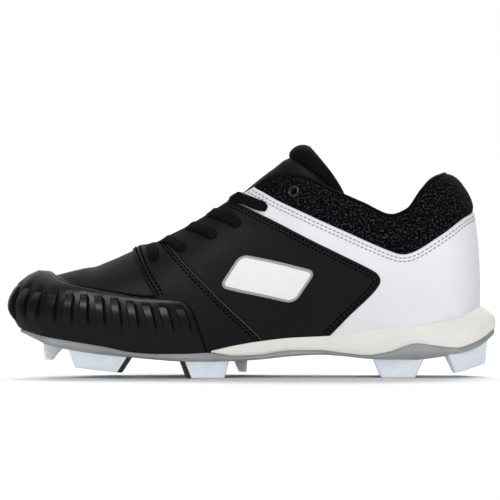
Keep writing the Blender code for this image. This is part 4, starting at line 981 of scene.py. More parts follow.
def panel(name, outline_of, height_of, finish, nodes, sides=SIDES, cut_edges=(),
          underlap=PANEL_UNDERLAP, edge_reach=(0.2, 0.75)):
    """A sewn-on panel: its outer face, its underside on the upper and the cut edge between them."""
    all_points, all_faces, all_pattern, all_edge = [], [], [], []
    for side in sides:
        edges = outline_of(side)
        spots, faces, walls = cut_pattern(edges)
        u, a = spots[:, 0], spots[:, 1]
        s = rise_of(side, u, a)
        distances = {key: distance_to(line, spots) for key, line in edges.items()}
        shape = soft_form(u, last(side, u, s)[..., 2])
        outer = skin(side, u, s, height_of(distances) + shape)
        under = skin(side, u, s, underlap + 0 * u)
        count, start = len(spots), sum(len(p) for p in all_points)
        faces = faces + [tuple(i + count for i in face[::-1]) for face in faces]
        faces += [(i, j, j + count, i + count) for i, j in walls]
        all_faces += [tuple(i + start for i in face) for face in faces]
        all_points += [outer, under]
        all_pattern += [spots, spots]
        nearest = np.min([distances[key] for key in cut_edges], axis=0) if cut_edges else np.full(count, 9.0)
        shown = 1 - ease(nearest, *edge_reach)
        all_edge += [shown, shown]
    return add_piece(name, np.concatenate(all_points), all_faces, [finish], nodes, None,
                     np.concatenate(all_pattern), np.concatenate(all_edge), sharp=75)


def rounded(distance, radius):
    """Rise of a cut edge's rounding: 0 on the outline and 1 from a radius inwards."""
    t = np.clip(1 - distance / radius, 0, 1)
    return np.sqrt(1 - t * t)


def groove(distance, at, width, depth):
    """A sewn line pulled into the leather at a distance from an edge."""
    return -depth * hump(distance, at, width)


def sewn_edge(distance, thick, rows, roll=0.0):
    """Height of a panel near a cut edge that is sewn down with rows of thread."""
    height = thick * rounded(distance, 0.8) + roll * hump(distance, 0.8, 0.6)
    return height + sum(groove(distance, at, 0.5, 0.22) for at in rows)


# Heel panel: white synthetic leather round the heel, one piece from side to side, with an arm that
# runs up to the throat. Its top edge is sewn over the collar, and the saddle covers its lower edge.
PANEL_WHITE = "e3e4e7"
PANEL_WHITE_SHADE = "d9dade"
PANEL_CLOUD_MM = 28
HEEL_TOP = ((1.4, 111.2), (16.4, 103.4), (36.5, 94.3), (57.5, 84.9), (74.0, 77.5), (83.0, 73.9), (88.0, 72.7),
            (93.0, 73.4), (99.0, 76.2), (111.2, 84.1), (123.5, 93.1), (129.4, 97.9))
HEEL_TOP_BACK_Z = 100.2
HEEL_UNDER_SADDLE = ((-16.5, 100.0), (14.0, 85.5), (32.0, 77.0), (52.0, 67.0), (61.0, 62.0), (65.5, 57.0),
                     (61.0, 48.0), (50.0, 37.5), (40.5, 28.5), (37.0, 23.0))
HEEL_THICK = 1.15
HEEL_THREADS = (2.2, 4.2)

# White synthetic leather: smooth, faintly pebbled, with a soft sheen and a cool cast.
white_leather, tree = new_finish("white_synthetic_leather")
place = add_node(tree, "TexCoord").outputs["Object"]
pebble = add_node(tree, "TexVoronoi", {"Vector": place, "Scale": per_mm(LEATHER_GRAIN_MM)},
                  feature="SMOOTH_F1")
broad = add_node(tree, "TexNoise", {"Vector": place, "Scale": per_mm(PANEL_CLOUD_MM), "Detail": 2.0})
colour = add_node(tree, "Mix", {
    0: broad.outputs["Fac"], 6: linear(PANEL_WHITE), 7: linear(PANEL_WHITE_SHADE)}, data_type="RGBA")
gloss = add_node(tree, "MapRange", {0: broad.outputs["Fac"], 1: 0.3, 2: 0.7, 3: 0.4, 4: 0.5})
bump = add_node(tree, "Bump", {"Strength": 0.1, "Distance": 0.0003, "Height": pebble.outputs["Distance"]})
shader = add_node(tree, "BsdfPrincipled", {
    "Base Color": colour.outputs[2], "Roughness": gloss.outputs[0], "IOR": 1.5, "Specular IOR Level": 0.4,
    "Normal": bump.outputs[0]})
add_node(tree, "OutputMaterial", {"Surface": shader.outputs[0]})


def throat_line(side, start, end):
    """The throat's edge on the flat pattern between two girths."""
    u = np.linspace(start, end, 60)
    return along_rise(side, u, 1.0)


def heel_outline(side):
    back_top = np.array([[HEEL_U, arc_of(side, [HEEL_U], rise_at(side, [HEEL_U], HEEL_TOP_BACK_Z))[0]]])
    top = round_line(np.concatenate([flat(side, HEEL_TOP), back_top]))
    under = round_line(flat(side, HEEL_UNDER_SADDLE))
    start, end = throat_line(side, top[0, 0], under[0, 0])[[0, -1]]
    top[0], under[0] = start, end
    rim = along_rim(side, girth_steps(under[-1, 0], HEEL_U, 3.0), 3.0)
    rim[0] = under[-1]
    back = np.stack([np.full(30, HEEL_U), np.linspace(rim[-1, 1], back_top[0, 1], 30)], axis=1)
    throat = throat_line(side, top[0, 0], under[0, 0])
    return {"throat": throat, "under": under, "rim": rim, "join": back, "top": top[::-1]}


def heel_height(d):
    sewn = np.minimum(sewn_edge(d["top"], HEEL_THICK, HEEL_THREADS), HEEL_THICK * rounded(d["throat"], 1.0))
    return sewn * ease(d["under"], -1.5, 1.0)


heel_panel = panel("heel_panel_white", heel_outline, heel_height, white_leather,
                   ["heel_panel"])
punch_holes(heel_panel, [4])


# Saddles: a black leather panel on each side of the midfoot, sewn over the heel panel's front edge.
# The edge along the white is turned in and rolled, with two rows of thread beside it.
SADDLE_BACK = ((43.5, 22.2), (46.5, 25.3), (58.0, 37.1), (68.0, 46.5), (73.4, 52.4), (75.7, 57.0),
               (74.0, 61.2), (68.4, 64.8), (53.4, 72.2), (32.9, 82.2), (16.4, 90.5), (2.0, 97.3),
               (-12.2, 103.7))
SADDLE_UNDER_BAND = ((-57.0, 79.0), (-50.8, 73.4), (-41.4, 63.5), (-31.2, 53.3), (-23.0, 45.5), (-8.0, 32.0),
                     (2.0, 20.0))
SADDLE_THICK = 1.5
SADDLE_THREADS = (2.0, 4.0)


def saddle_outline(side):
    back = round_line(flat(side, SADDLE_BACK))
    under = round_line(flat(side, SADDLE_UNDER_BAND))
    throat = throat_line(side, back[-1, 0], under[0, 0])
    back[-1], under[0] = throat[0], throat[-1]
    rim = along_rim(side, girth_steps(under[-1, 0], back[0, 0], 3.0), 3.0)
    under[-1], back[0] = rim[0], rim[-1]
    return {"back": back, "throat": throat, "under": under, "rim": rim}


def saddle_height(d):
    over_white = 0.45 * (1 - ease(d["back"], 5.5, 8.5))
    body = sewn_edge(d["back"], SADDLE_THICK + over_white, SADDLE_THREADS, roll=0.45)
    under_band = 0.65 * (1 - ease(d["under"], 2.5, 5.0))
    return np.minimum(body, (SADDLE_THICK + 0.3) * rounded(d["throat"], 1.2)) - under_band


saddles = {}
for side in SIDES:
    saddles[side] = panel(f"saddle_panel_{SIDE_NAMES[side]}", saddle_outline, saddle_height, black_leather,
                          [f"saddle_{SIDE_NAMES[side]}"], sides=(side,))


# Vamp band: a black leather band across the front of the throat and down both sides, sewn over the
# vamp in front of it and over the saddles behind it. Its lower edge runs under the toe guard.
BAND_FRONT = ((-70.2, 75.5), (-69.2, 71.6), (-65.6, 63.4), (-61.6, 55.6), (-58.6, 50.8), (-56.4, 46.6))
BAND_UNDER_GUARD = ((-56.4, 46.6), (-47.0, 45.2), (-38.6, 44.2), (-34.4, 38.0), (-30.4, 28.0), (-27.0, 17.0),
                    (-26.4, 14.5))
BAND_BACK = ((6.0, 22.6), (-5.7, 33.8), (-18.9, 46.0), (-27.1, 54.3), (-37.3, 64.5), (-46.8, 74.8),
             (-51.6, 81.5))
BAND_THICK = 1.5
BAND_FRONT_THREADS = (2.0, 4.4)
BAND_BACK_THREADS = (1.3, 3.2)


def band_outline(side):
    front, guard = flat(side, BAND_FRONT), flat(side, BAND_UNDER_GUARD)
    front[0, 1] = arc_of(side, front[:1, 0], [1.0])[0]
    front, guard = round_line(front), round_line(guard)
    back = round_line(flat(side, BAND_BACK))
    throat = throat_line(side, back[-1, 0], THROAT_FRONT_X)
    crest = throat_line(side, THROAT_FRONT_X, front[0, 0])
    back[-1] = throat[0]
    rim = along_rim(side, girth_steps(guard[-1, 0], back[0, 0], 3.0), 2.0)
    rim[0], back[0] = guard[-1], rim[-1]
    return {"front": front, "guard": guard, "rim": rim, "back": back, "throat": throat, "join": crest}


def band_height(d):
    over_saddle = 0.35 * (1 - ease(d["back"], 4.0, 7.0))
    front = sewn_edge(d["front"], BAND_THICK, BAND_FRONT_THREADS)
    edges = np.minimum(front, sewn_edge(d["back"], BAND_THICK + over_saddle, BAND_BACK_THREADS))
    return np.minimum(edges, (BAND_THICK + 0.2) * rounded(d["throat"], 1.2))


vamp_band = panel("vamp_band_leather", band_outline, band_height, black_leather,
                  ["vamp_band"], cut_edges=("back",), edge_reach=(0.45, 0.85))
punch_holes(vamp_band, [0])
for side in SIDES:
    punch_holes(saddles[side], [1, 2, 3])


# Badges: a plain patch of white film over thin foam on each saddle. It is welded on under heat,
# which leaves a raised, smooth grey rim round it.
BADGE_CENTRE = (9.0, 58.0)
BADGE_LENGTH = 46.0
BADGE_HEIGHT = 22.0
BADGE_CORNER = 5.0
BADGE_TURN = -12.0
BADGE_LEAN = 0.4
BADGE_BASE = 1.3
BADGE_RISE = 1.0
BADGE_RIM_MM = 1.7
BADGE_WHITE = "e4e5e6"
BADGE_GREY = "9a9b9e"
BADGE_GRAIN_MM = 0.9

# Welded patch: white satin film over foam, and a smooth grey rim.
welded_patch, tree = new_finish("welded_film_patch")
place = add_node(tree, "TexCoord").outputs["Object"]
pebble = add_node(tree, "TexVoronoi", {"Vector": place, "Scale": per_mm(BADGE_GRAIN_MM)}, feature="SMOOTH_F1")
rim_mask = add_node(tree, "Attribute", attribute_name="edge").outputs["Fac"]
colour = add_node(tree, "Mix", {0: rim_mask, 6: linear(BADGE_WHITE), 7: linear(BADGE_GREY)}, data_type="RGBA")
bump = add_node(tree, "Bump", {"Strength": 0.12, "Distance": 0.0003, "Height": pebble.outputs["Distance"]})
gloss = add_node(tree, "MapRange", {0: rim_mask, 1: 0.0, 2: 1.0, 3: 0.45, 4: 0.35})
shader = add_node(tree, "BsdfPrincipled", {
    "Base Color": colour.outputs[2], "Roughness": gloss.outputs[0], "IOR": 1.5, "Normal": bump.outputs[0]})
add_node(tree, "OutputMaterial", {"Surface": shader.outputs[0]})


def badge_outline(side):
    """A plain leaning patch with round corners, drawn in the side view."""
    half, tall, radius = BADGE_LENGTH / 2, BADGE_HEIGHT / 2, BADGE_CORNER
    c, s = math.cos(math.radians(BADGE_TURN)), math.sin(math.radians(BADGE_TURN))
    corners = []
    for quarter, (end, top) in enumerate(((1, 1), (-1, 1), (-1, -1), (1, -1))):
        for turn in math.pi / 2 * (quarter + np.linspace(0, 1, 9)):
            z = top * (tall - radius) + radius * math.sin(turn)
            x = end * (half - radius) + radius * math.cos(turn) + BADGE_LEAN * z
            corners.append((BADGE_CENTRE[0] + x * c - z * s, BADGE_CENTRE[1] + x * s + z * c))
    return {"rim": flat(side, [*corners, corners[0]])}


def badge_height(d):
    inside = ease(d["rim"], BADGE_RIM_MM - 0.35, BADGE_RIM_MM + 0.35)
    return BADGE_BASE + BADGE_RISE * rounded(d["rim"], 0.7) - 0.35 * inside + 0.25 * ease(d["rim"], 2.0, 6.0)


for side in SIDES:
    panel(f"badge_patch_{SIDE_NAMES[side]}", badge_outline, badge_height, welded_patch,
          [f"badge_{SIDE_NAMES[side]}"], sides=(side,), cut_edges=("rim",), underlap=BADGE_BASE - 0.2,
          edge_reach=(BADGE_RIM_MM - 0.15, BADGE_RIM_MM + 0.15))


# Toe guard: a moulded rubber drag guard round the toe, glued and welded over the vamp. A bead runs
# along its top and rear edges with a groove beside it, and upright pads in relief take the wear.
RUBBER_BLACK = "0e0e0f"
RUBBER_WORN = "151516"
RUBBER_GROOVE_SHADE = "020202"
RUBBER_GRAIN_MM = 0.8
RUBBER_CLOUD_MM = 18
GUARD_TOP = table("x z", (
    (-139, 67.2), (-118, 62.4), (-115, 60.3), (-109, 57), (-99, 54.2), (-89, 52.6), (-79, 51.2), (-70, 49.8),
    (-60, 49), (-50, 48.5), (-36, 47.2),
))
guard_top = curves(GUARD_TOP, "x")["z"]
GUARD_END_U = -27.0
GUARD_END_LEAN = 10.0
GUARD_WALL = 2.7
GUARD_END_WALL = 0.7
BEAD_MM = 0.95
BEAD_GROOVE_MM = 2.0
RIB_PITCH = 10.6
RIB_WIDTH = 5.3
RIB_HEIGHT = 1.5
RIB_RAMP = 8.5
RIB_CORNER = 1.3
RIBS_PER_SIDE = 12
RIB_START = GUARD_END_U - RIB_PITCH * RIBS_PER_SIDE
RIB_ENDS = table("x top low", (
    (-140, 52.0, 36.0), (-125, 49.2, 34.0), (-109, 47.3, 31.4), (-99, 47.1, 30.2), (-89, 45.9, 29.2),
    (-79, 44.6, 28.6), (-70, 43.0, 28.0), (-60, 41.7, 27.2), (-50, 41.2, 26.2), (-40, 40.2, 25.0),
))
rib_ends = curves(RIB_ENDS, "x")
TOE_FILL = table("z fill", (
    (27, 1.4), (32, 2.0), (37, 1.4), (42, 0.4), (47, -0.4), (52, 1.9), (57, 3.2), (61, 2.0), (63, 0.8),
    (66, 0),
))
toe_fill = curves(TOE_FILL, "z")["fill"]

# Rows of the guard: down from its top edge, and about the top end of a pad. Steps along a pad and its
# gap, and before the guard's rear end.
GUARD_EDGE_ROWS = (0, 0.15, 0.4, 0.7, 0.95, 1.2, 1.45, 1.65, 1.85, 2.0, 2.15, 2.35, 2.6, 2.95, 3.4, 3.9)
RIB_TOP_ROWS = (-0.25, -0.1, 0.05, 0.2, 0.4, 0.7, 1.1, 1.6)
RIB_STEPS = (0, 0.15, 0.3, 0.5, 0.9, 1.7, 2.65, 3.6, 4.4, 4.8, 5.0, 5.15, 5.3, 5.45, 5.6, 5.8, 6.1, 6.6, 7.4,
             8.4, 9.4, 10.0, 10.3, 10.45)
GUARD_END_STEPS = (2.9, 2.4, 1.9, 1.4, 1.0, 0.7, 0.45, 0.25, 0.1, 0)

# Moulded rubber: satin black, a touch greyer on the worn tops, and dull in the grooves, where a deeper black
# is painted in as shade.
moulded_rubber, tree = new_finish("moulded_black_rubber")
place = add_node(tree, "TexCoord").outputs["Object"]
grain = add_node(tree, "TexNoise", {"Vector": place, "Scale": per_mm(RUBBER_GRAIN_MM), "Detail": 3.0})
broad = add_node(tree, "TexNoise", {"Vector": place, "Scale": per_mm(RUBBER_CLOUD_MM), "Detail": 3.0})
face = add_node(tree, "Mix", {0: broad.outputs["Fac"], 6: linear(RUBBER_BLACK), 7: linear(RUBBER_WORN)},
                data_type="RGBA")
# Painted shade: the groove by the bead and the slots beside the pads are coloured near-black.
groove_shade = add_node(tree, "Attribute", attribute_name="edge").outputs["Fac"]
colour = add_node(tree, "Mix", {0: groove_shade, 6: face.outputs[2], 7: linear(RUBBER_GROOVE_SHADE)}, data_type="RGBA")
gloss = add_node(tree, "MapRange", {0: broad.outputs["Fac"], 1: 0.3, 2: 0.7, 3: 0.3, 4: 0.4})
dull = add_node(tree, "Math", {0: groove_shade, 1: 0.6, 2: gloss.outputs[0]}, operation="MULTIPLY_ADD")
bump = add_node(tree, "Bump", {"Strength": 0.08, "Distance": 0.0002, "Height": grain.outputs["Fac"]})
shader = add_node(tree, "BsdfPrincipled", {
    "Base Color": colour.outputs[2], "Roughness": dull.outputs[0], "IOR": 1.52, "Specular IOR Level": 0.5,
    "Normal": bump.outputs[0]})
add_node(tree, "OutputMaterial", {"Surface": shader.outputs[0]})


def guard_rise(side, u):
    """The rise at which each section passes the guard's top edge."""
    path = last(side, u[:, None], RISES)
    over = path[..., 2] - guard_top(path[..., 0])
    k = np.argmax((over > 0) & (RISES > 0.15), axis=1)
    row = np.arange(len(u))
    return RISES[k - 1] + (RISES[k] - RISES[k - 1]) * over[row, k - 1] / (over[row, k - 1] - over[row, k])


def guard_rises(side, girth, from_edge):
    """The rises of the guard's rows, each at its own distance up from the sole's edge."""
    return np.stack([rise_of(side, g, a) for g, a in zip(girth.T, from_edge.T)], axis=1)


def guard_sheet(side, u):
    """Rows of the guard's outer face from its top edge down, then of its inner face back up."""
    lean = GUARD_END_LEAN * ease(u, -120, GUARD_END_U)
    tall = arc_of(side, u - lean, guard_rise(side, u - lean))
    rib_u = u - 0.8 * lean
    x = sole_point(side, rib_u, 0.0, z=0)[:, 0]
    rib_top, rib_low = [tall - arc_of(side, rib_u, rise_at(side, rib_u, rib_ends[end](x)))
                        for end in ("top", "low")]
    rib_top = np.maximum(rib_top, 4.8)
    edge_end, rib_end = GUARD_EDGE_ROWS[-1], RIB_TOP_ROWS[-1]
    depths = [0 * u + d for d in GUARD_EDGE_ROWS]
    depths += [edge_end + (rib_top - 0.4 - edge_end) * k for k in (0.33, 0.67, 1.0)]
    depths += [rib_top + d for d in RIB_TOP_ROWS]
    depths += [rib_top + rib_end + (rib_low - rib_top - rib_end) * k for k in np.linspace(0, 1, 16)[1:]]
    depths += [rib_low + (tall - rib_low) * k for k in np.linspace(0, 1, 12)[1:]]
    from_top = np.stack(depths, axis=1)
    girth = u[:, None] - lean[:, None] * (1 - from_top / tall[:, None])
    rise = guard_rises(side, girth, tall[:, None] - from_top)
    from_end = np.broadcast_to(GUARD_END_U - u[:, None], rise.shape)
    toe = 1 - ease(u, -122, -100)[:, None]
    wall = GUARD_END_WALL + (GUARD_WALL - GUARD_END_WALL) * ease(from_end, 0.5, 6.0)
    wall = wall + toe_fill(last(side, girth, rise)[..., 2]) * (1 - ease(u, -152, -122))[:, None]
    band_top = BEAD_GROOVE_MM - 0.25
    offset = 0.2 + (wall - 0.2) * rounded(from_top - band_top, 3.8 - 1.8 * toe) * (from_top > band_top)
    bead_ends = ease(from_end, 0.6, 3.0)
    bead = 0.95 * hump(from_top, BEAD_MM, 0.5) * (1 - 0.6 * toe) - 1.6 * hump(from_top, BEAD_GROOVE_MM, 0.44)
    offset = offset + bead * bead_ends
    offset = offset * (1 - 0.5 * toe * (1 - ease(from_top, 1.5, 9.0)))
    offset = np.maximum(offset, 0.06) * rounded(from_end, 1.6) * rounded(from_top, 0.5)
    place_in = np.mod(u - RIB_START, RIB_PITCH)[:, None]
    below = from_top - rib_top[:, None]
    beside_it = np.abs(place_in - RIB_WIDTH / 2) - RIB_WIDTH / 2 + RIB_CORNER
    outside = np.hypot(np.maximum(beside_it, 0), np.maximum(RIB_CORNER - below, 0)) - RIB_CORNER
    long = (rib_low - rib_top)[:, None]
    round_toe = 1 + 0.6 * (1 - ease(u, -142, -108))[:, None]
    swell = -0.3 + 1.3 * np.sin(np.clip(below / RIB_RAMP, 0, 1) * math.pi / 2)
    fade = 1 - ease(below, 0.6 * long, 1.1 * long)
    pad = (1 - ease(outside, -0.3, 0.25)) * swell * fade
    slot = hump(outside, 0.45, 0.36 * round_toe) * fade * ease(below, -0.9, 0.6)
    slot = slot * (0.6 + 0.4 * (place_in > RIB_WIDTH / 2))
    outer = skin(side, girth, rise, offset + (RIB_HEIGHT * pad - 1.1 * slot) * round_toe)
    inner_share = np.linspace(0, 1, 12)[None, :] * np.ones((len(u), 1))
    inner_girth = u[:, None] - lean[:, None] * inner_share
    inner_rise = guard_rises(side, inner_girth, tall[:, None] * inner_share)
    inner = skin(side, inner_girth, inner_rise, -0.15 + 0 * inner_share)
    both = np.concatenate([outer, inner], axis=1)
    both[..., 2] = np.maximum(both[..., 2], level["joint"](both[..., 0]) + 1.2 * GAP)
    # Mask of the painted shade: the groove by the bead and the slots beside the pads.
    groove_shade = np.maximum(hump(from_top, BEAD_GROOVE_MM, 0.5) * bead_ends, np.clip(1.3 * slot, 0, 1))
    return both, np.concatenate([groove_shade, 0 * inner_share], axis=1)


guard_u = [RIB_START + RIB_PITCH * k + step for k in range(RIBS_PER_SIDE) for step in RIB_STEPS]
guard_u = [u for u in guard_u if u < GUARD_END_U - 3.2] + [GUARD_END_U - step for step in GUARD_END_STEPS]
guard_u = np.array([TOE_U, TOE_U + 1.2, TOE_U + 2.4, *guard_u])
guard_halves = guard_sheet(LATERAL, guard_u[:0:-1]), guard_sheet(MEDIAL, guard_u)
guard_rings, guard_groove_shade = [np.concatenate(parts) for parts in zip(*guard_halves)]
add_piece("toe_guard_rubber", guard_rings, tube(*guard_rings.shape[:2]), [moulded_rubber],
          ["toe_guard"], edge=guard_groove_shade, sharp=75)


# Collar binding: a smooth woven tape folded over the edge of the collar and sewn down on both faces.
# It is wider where the edge climbs to the heel.
TAPE_BLACK = "060607"
TAPE_LIT = "0c0c0e"
TAPE_THREAD_MM = 0.785
TAPE_CLOUD_MM = 3.333
BINDING_FROM_U = 2.0
BINDING_STEP = 1.3
# Rows of the tape. Outside: share of its width below the collar's edge, and height over the face.
# Inside: distance below the edge, and height.
BINDING_OUTSIDE = ((1.0, -0.3), (0.96, 0.2), (0.86, 0.42), (0.64, 0.55), (0.36, 0.58), (0.12, 0.5))
BINDING_INSIDE = ((0.8, 0.6), (2.5, 0.55), (4.5, 0.45), (5.0, -0.3))

# Woven tape: close, slightly shiny threads that run across the edge.
woven_tape, tree = new_finish("black_woven_tape")
place = add_node(tree, "UVMap", uv_map="pattern").outputs[0]
threads = add_node(tree, "TexWave", {
    "Vector": place, "Scale": WAVE_BAND / TAPE_THREAD_MM, "Distortion": 0.6, "Detail": 1.0})
cloud = add_node(tree, "TexNoise", {"Vector": place, "Scale": 1 / TAPE_CLOUD_MM, "Detail": 3.0})
colour = add_node(tree, "Mix", {0: cloud.outputs["Fac"], 6: linear(TAPE_BLACK), 7: linear(TAPE_LIT)},
                  data_type="RGBA")
bump = add_node(tree, "Bump", {"Strength": 0.2, "Distance": 0.0002, "Height": threads.outputs["Fac"]})
shader = add_node(tree, "BsdfPrincipled", {
    "Base Color": colour.outputs[2], "Roughness": 0.6, "Specular IOR Level": 0.1, "Sheen Weight": 0.01,
    "Normal": bump.outputs[0]})
add_node(tree, "OutputMaterial", {"Surface": shader.outputs[0]})


def binding_ring(side, u):
    """Sections of the tape: down the outside, over the edge and down the inside."""
    top = arcs(side, u)[:, -1]
    edge, out = last(side, u, 1.0), normals(side, u, 1.0 + 0 * u)
    up = unit(edge - last(side, u, 0.985))
    wall = wall_depth(u, 1.0 + 0 * u)[:, None]
    rows = []
    for share, offset in BINDING_OUTSIDE:
        rows.append(skin(side, u, rise_of(side, u, top - share * tape_width(u)), offset + 0 * u))
    for turn in np.linspace(0.25, math.pi - 0.25, 7):
        rows.append(edge + out * (-wall / 2 + (wall / 2 + 0.5) * math.cos(turn)) + up * 0.2 * math.sin(turn))
    for down, offset in BINDING_INSIDE:
        s = rise_of(side, u, top - down)
        rows.append(skin(side, u, s, -wall_depth(u, s) - offset))
    return np.stack(rows, axis=1)


binding_u = girth_steps(BINDING_FROM_U, HEEL_U, BINDING_STEP)
binding_rings = np.concatenate([binding_ring(MEDIAL, binding_u), binding_ring(LATERAL, binding_u[-2::-1])])
run, across = np.indices(binding_rings.shape[:2])
add_piece("collar_binding", binding_rings, tube(*binding_rings.shape[:2]), [woven_tape],
          pattern=np.stack([run * BINDING_STEP, across], axis=-1), sharp=60)


# Stitching: twin rows of bonded thread, about four stitches to the centimetre, pulled a little into
# the leather: black on the black panels and grey on the white one.
THREAD_BLACK = "020202"
THREAD_GREY = "96979b"
THREAD_TWIST_MM = 0.4
STITCH_PITCH = 2.7
STITCH_LENGTH = 2.05
STITCH_SUNK = 0.12
STITCH_RADII = {"black": 0.6, "grey": 0.38}

# Bonded thread: twisted filaments under a wax, matt beside the leather it sinks into.
thread_finishes = {}
for name, code in (("black", THREAD_BLACK), ("grey", THREAD_GREY)):
    thread_finishes[name], tree = new_finish(f"bonded_{name}_thread")
    place = add_node(tree, "TexCoord").outputs["Object"]
    twist = add_node(tree, "TexNoise", {"Vector": place, "Scale": per_mm(THREAD_TWIST_MM), "Detail": 2.0})
    bump = add_node(tree, "Bump", {"Strength": 0.3, "Distance": 0.0001, "Height": twist.outputs["Fac"]})
    shader = add_node(tree, "BsdfPrincipled", {
        "Base Color": linear(code), "Roughness": 0.8, "Specular IOR Level": 0.04, "Normal": bump.outputs[0]})
    add_node(tree, "OutputMaterial", {"Surface": shader.outputs[0]})


def beside(line, distance, loop):
    """A line of the flat pattern at a distance inside a panel's edge."""
    run = unit(np.gradient(line, axis=0))
    for sign in (1, -1):
        moved = line + np.stack([-run[:, 1], run[:, 0]], axis=1) * distance * sign
        if inside_of(loop, moved[len(moved) // 2][None])[0]:
            break
    return moved[inside_of(loop, moved) & (distance_to(line, moved) > distance - 0.05)]


def stitch_row(side, line, height, thread_radius):
    """Points and faces of the stitches along a line: a thread that rises out of one hole into the next."""
    fine = even(line, STITCH_PITCH / 12)
    run = lengths_along(fine)
    starts = np.arange(STITCH_PITCH / 2, run[-1] - STITCH_PITCH / 2, STITCH_PITCH)
    shares = np.linspace(0, 1, 6)
    at = starts[:, None] + shares * STITCH_LENGTH
    u, a = np.interp(at, run, fine[:, 0]), np.interp(at, run, fine[:, 1])
    s = rise_of(side, u.ravel(), a.ravel()).reshape(u.shape)
    bow = np.sin(shares * math.pi) ** 0.5
    z = last(side, u, s)[..., 2]
    middle = skin(side, u, s, height + soft_form(u, z) + 0.3 * (bow - 1))
    out = normals(side, u, s)
    forward = unit(np.gradient(middle, axis=1))
    beside_it = np.cross(forward, out)
    turns = np.linspace(0, 2 * math.pi, 7)[:-1]
    radius = thread_radius * (0.65 + 0.35 * bow)[None, :, None, None]
    ring = np.cos(turns)[:, None] * beside_it[:, :, None] + np.sin(turns)[:, None] * out[:, :, None]
    points = middle[:, :, None] + ring * radius
    one = tube(len(shares), len(turns))
    count = len(shares) * len(turns)
    faces = [tuple(i + k * count for i in face) for k in range(len(starts)) for face in one]
    return points.reshape(-1, 3), faces


SEWN_EDGES = (
    ("band_stitches", "black", "black_leather", band_outline,
     (("front", BAND_FRONT_THREADS), ("back", BAND_BACK_THREADS)), BAND_THICK),
    ("saddle_stitches", "black", "black_leather", saddle_outline, (("back", SADDLE_THREADS),),
     SADDLE_THICK + 0.25),
    ("heel_stitches", "grey", "white_leather", heel_outline, (("top", HEEL_THREADS),), HEEL_THICK),
)
for name, thread, slot, outline_of, edge_rows, thick in SEWN_EDGES:
    all_points, all_faces = [], []
    for side in SIDES:
        edges = outline_of(side)
        loop = np.concatenate([line[:-1] for line in edges.values()])
        for edge_name, distances in edge_rows:
            for distance in distances:
                line = beside(even(edges[edge_name], 0.8), distance, loop)
                points, faces = stitch_row(side, line, thick - STITCH_SUNK, STITCH_RADII[thread])
                start = sum(len(p) for p in all_points)
                all_points.append(points)
                all_faces += [tuple(i + start for i in face) for face in faces]
    add_piece(name, np.concatenate(all_points), all_faces, [thread_finishes[thread]], sharp=80)


# Tongue: a padded tongue of foam between leather and lining, sewn in at the front of the throat.
# Its top is turned over into a thick bound roll, with a pulled-in seam below the roll.
# Rows from front to top: x, z, lean in degrees, half width, wrap and thickness.
TONGUE = (
    (-66.0, 71.0, 0, 13.0, 7.0, 2.4), (-58.0, 74.6, 0, 15.0, 8.0, 3.4), (-50.0, 78.6, 0, 17.0, 9.0, 3.8),
    (-30.0, 90.0, 0, 18.0, 11.0, 4.0), (-10.0, 104.4, 4, 19.0, 17.0, 4.0), (5.0, 116.6, 18, 19.0, 26.5, 4.4),
    (14.0, 123.3, 40, 19.5, 33.0, 5.0), (18.6, 127.0, 54, 19.9, 34.0, 5.6),
    (21.8, 128.6, 61, 19.3, 33.6, 6.0), (21.8, 130.0, 58, 20.9, 34.2, 7.6),
    (22.2, 132.0, 54, 21.7, 34.6, 9.0), (24.2, 134.3, 49, 22.1, 35.0, 9.5),
    (27.2, 136.0, 45, 22.1, 35.4, 9.0), (30.7, 136.4, 42, 21.7, 35.4, 7.0),
    (34.2, 135.4, 40, 20.6, 34.0, 3.2),
)
TONGUE_ARC = math.radians(75)
TONGUE_CURL = 5.5
TONGUE_PER_ROW = 7
TONGUE_ACROSS = 37
TONGUE_ROLL_ROW = 8


def tongue_ring(row):
    """One arched section of the tongue: its outside from edge to edge, then its inside back."""
    x, z, lean, half, wrap, thick = row
    lean = math.radians(lean)
    back = np.array([math.sin(lean), 0, -math.cos(lean)])
    middle = np.array([x, float(crest_y(x)), z])
    turns = np.linspace(-TONGUE_ARC, TONGUE_ARC, TONGUE_ACROSS)
    share = (1 - np.cos(turns)) / (1 - math.cos(TONGUE_ARC))
    across = np.sin(turns)[:, None] * np.array([0, 1, 0])
    curl = np.array([0, 0, -TONGUE_CURL]) * float(ease(math.degrees(lean), 25, 40)) * (share**4)[:, None]
    outside = middle + across * half + back * (wrap * share)[:, None] + curl
    inside = middle + across * (half - thick * 0.8) + back * (thick + (wrap - thick) * share)[:, None] + curl
    edges = []
    for end in (-1, 0):
        rim_out, rim_in = outside[end], inside[end]
        bulge = np.array([0, -1.0 if end == 0 else 1.0, 0]) * thick * 0.12
        edges.append([rim_out + (rim_in - rim_out) * k + bulge * math.sin(k * math.pi) for k in (0.3, 0.7)])
    return np.concatenate([outside, edges[0], inside[::-1], edges[1][::-1]])


tongue_line = round_line(TONGUE, TONGUE_PER_ROW)
tongue_rings = np.stack([tongue_ring(row) for row in tongue_line])
tongue_rows, tongue_count = tongue_rings.shape[:2]
roll_from = TONGUE_PER_ROW * TONGUE_ROLL_ROW + 2
tongue_finish = []
for i in range(tongue_rows - 1):
    for j in range(tongue_count):
        outside = j < TONGUE_ACROSS or j > 2 * TONGUE_ACROSS + 2
        tongue_finish.append(2 if i >= roll_from else (0 if outside else 1))
tongue_finish += [1, 2]
run = lengths_along(tongue_line[:, :2])[:, None] + np.zeros((1, tongue_count))
across = np.arange(tongue_count)[None, :] * 1.3 + np.zeros((tongue_rows, 1))
tongue = add_piece("tongue_pad", tongue_rings, tube(tongue_rows, tongue_count),
                   [black_leather, tricot_lining, woven_tape], ["tongue"], tongue_finish,
                   np.stack([run, across], axis=-1), np.zeros(tongue_rows * tongue_count), sharp=70)


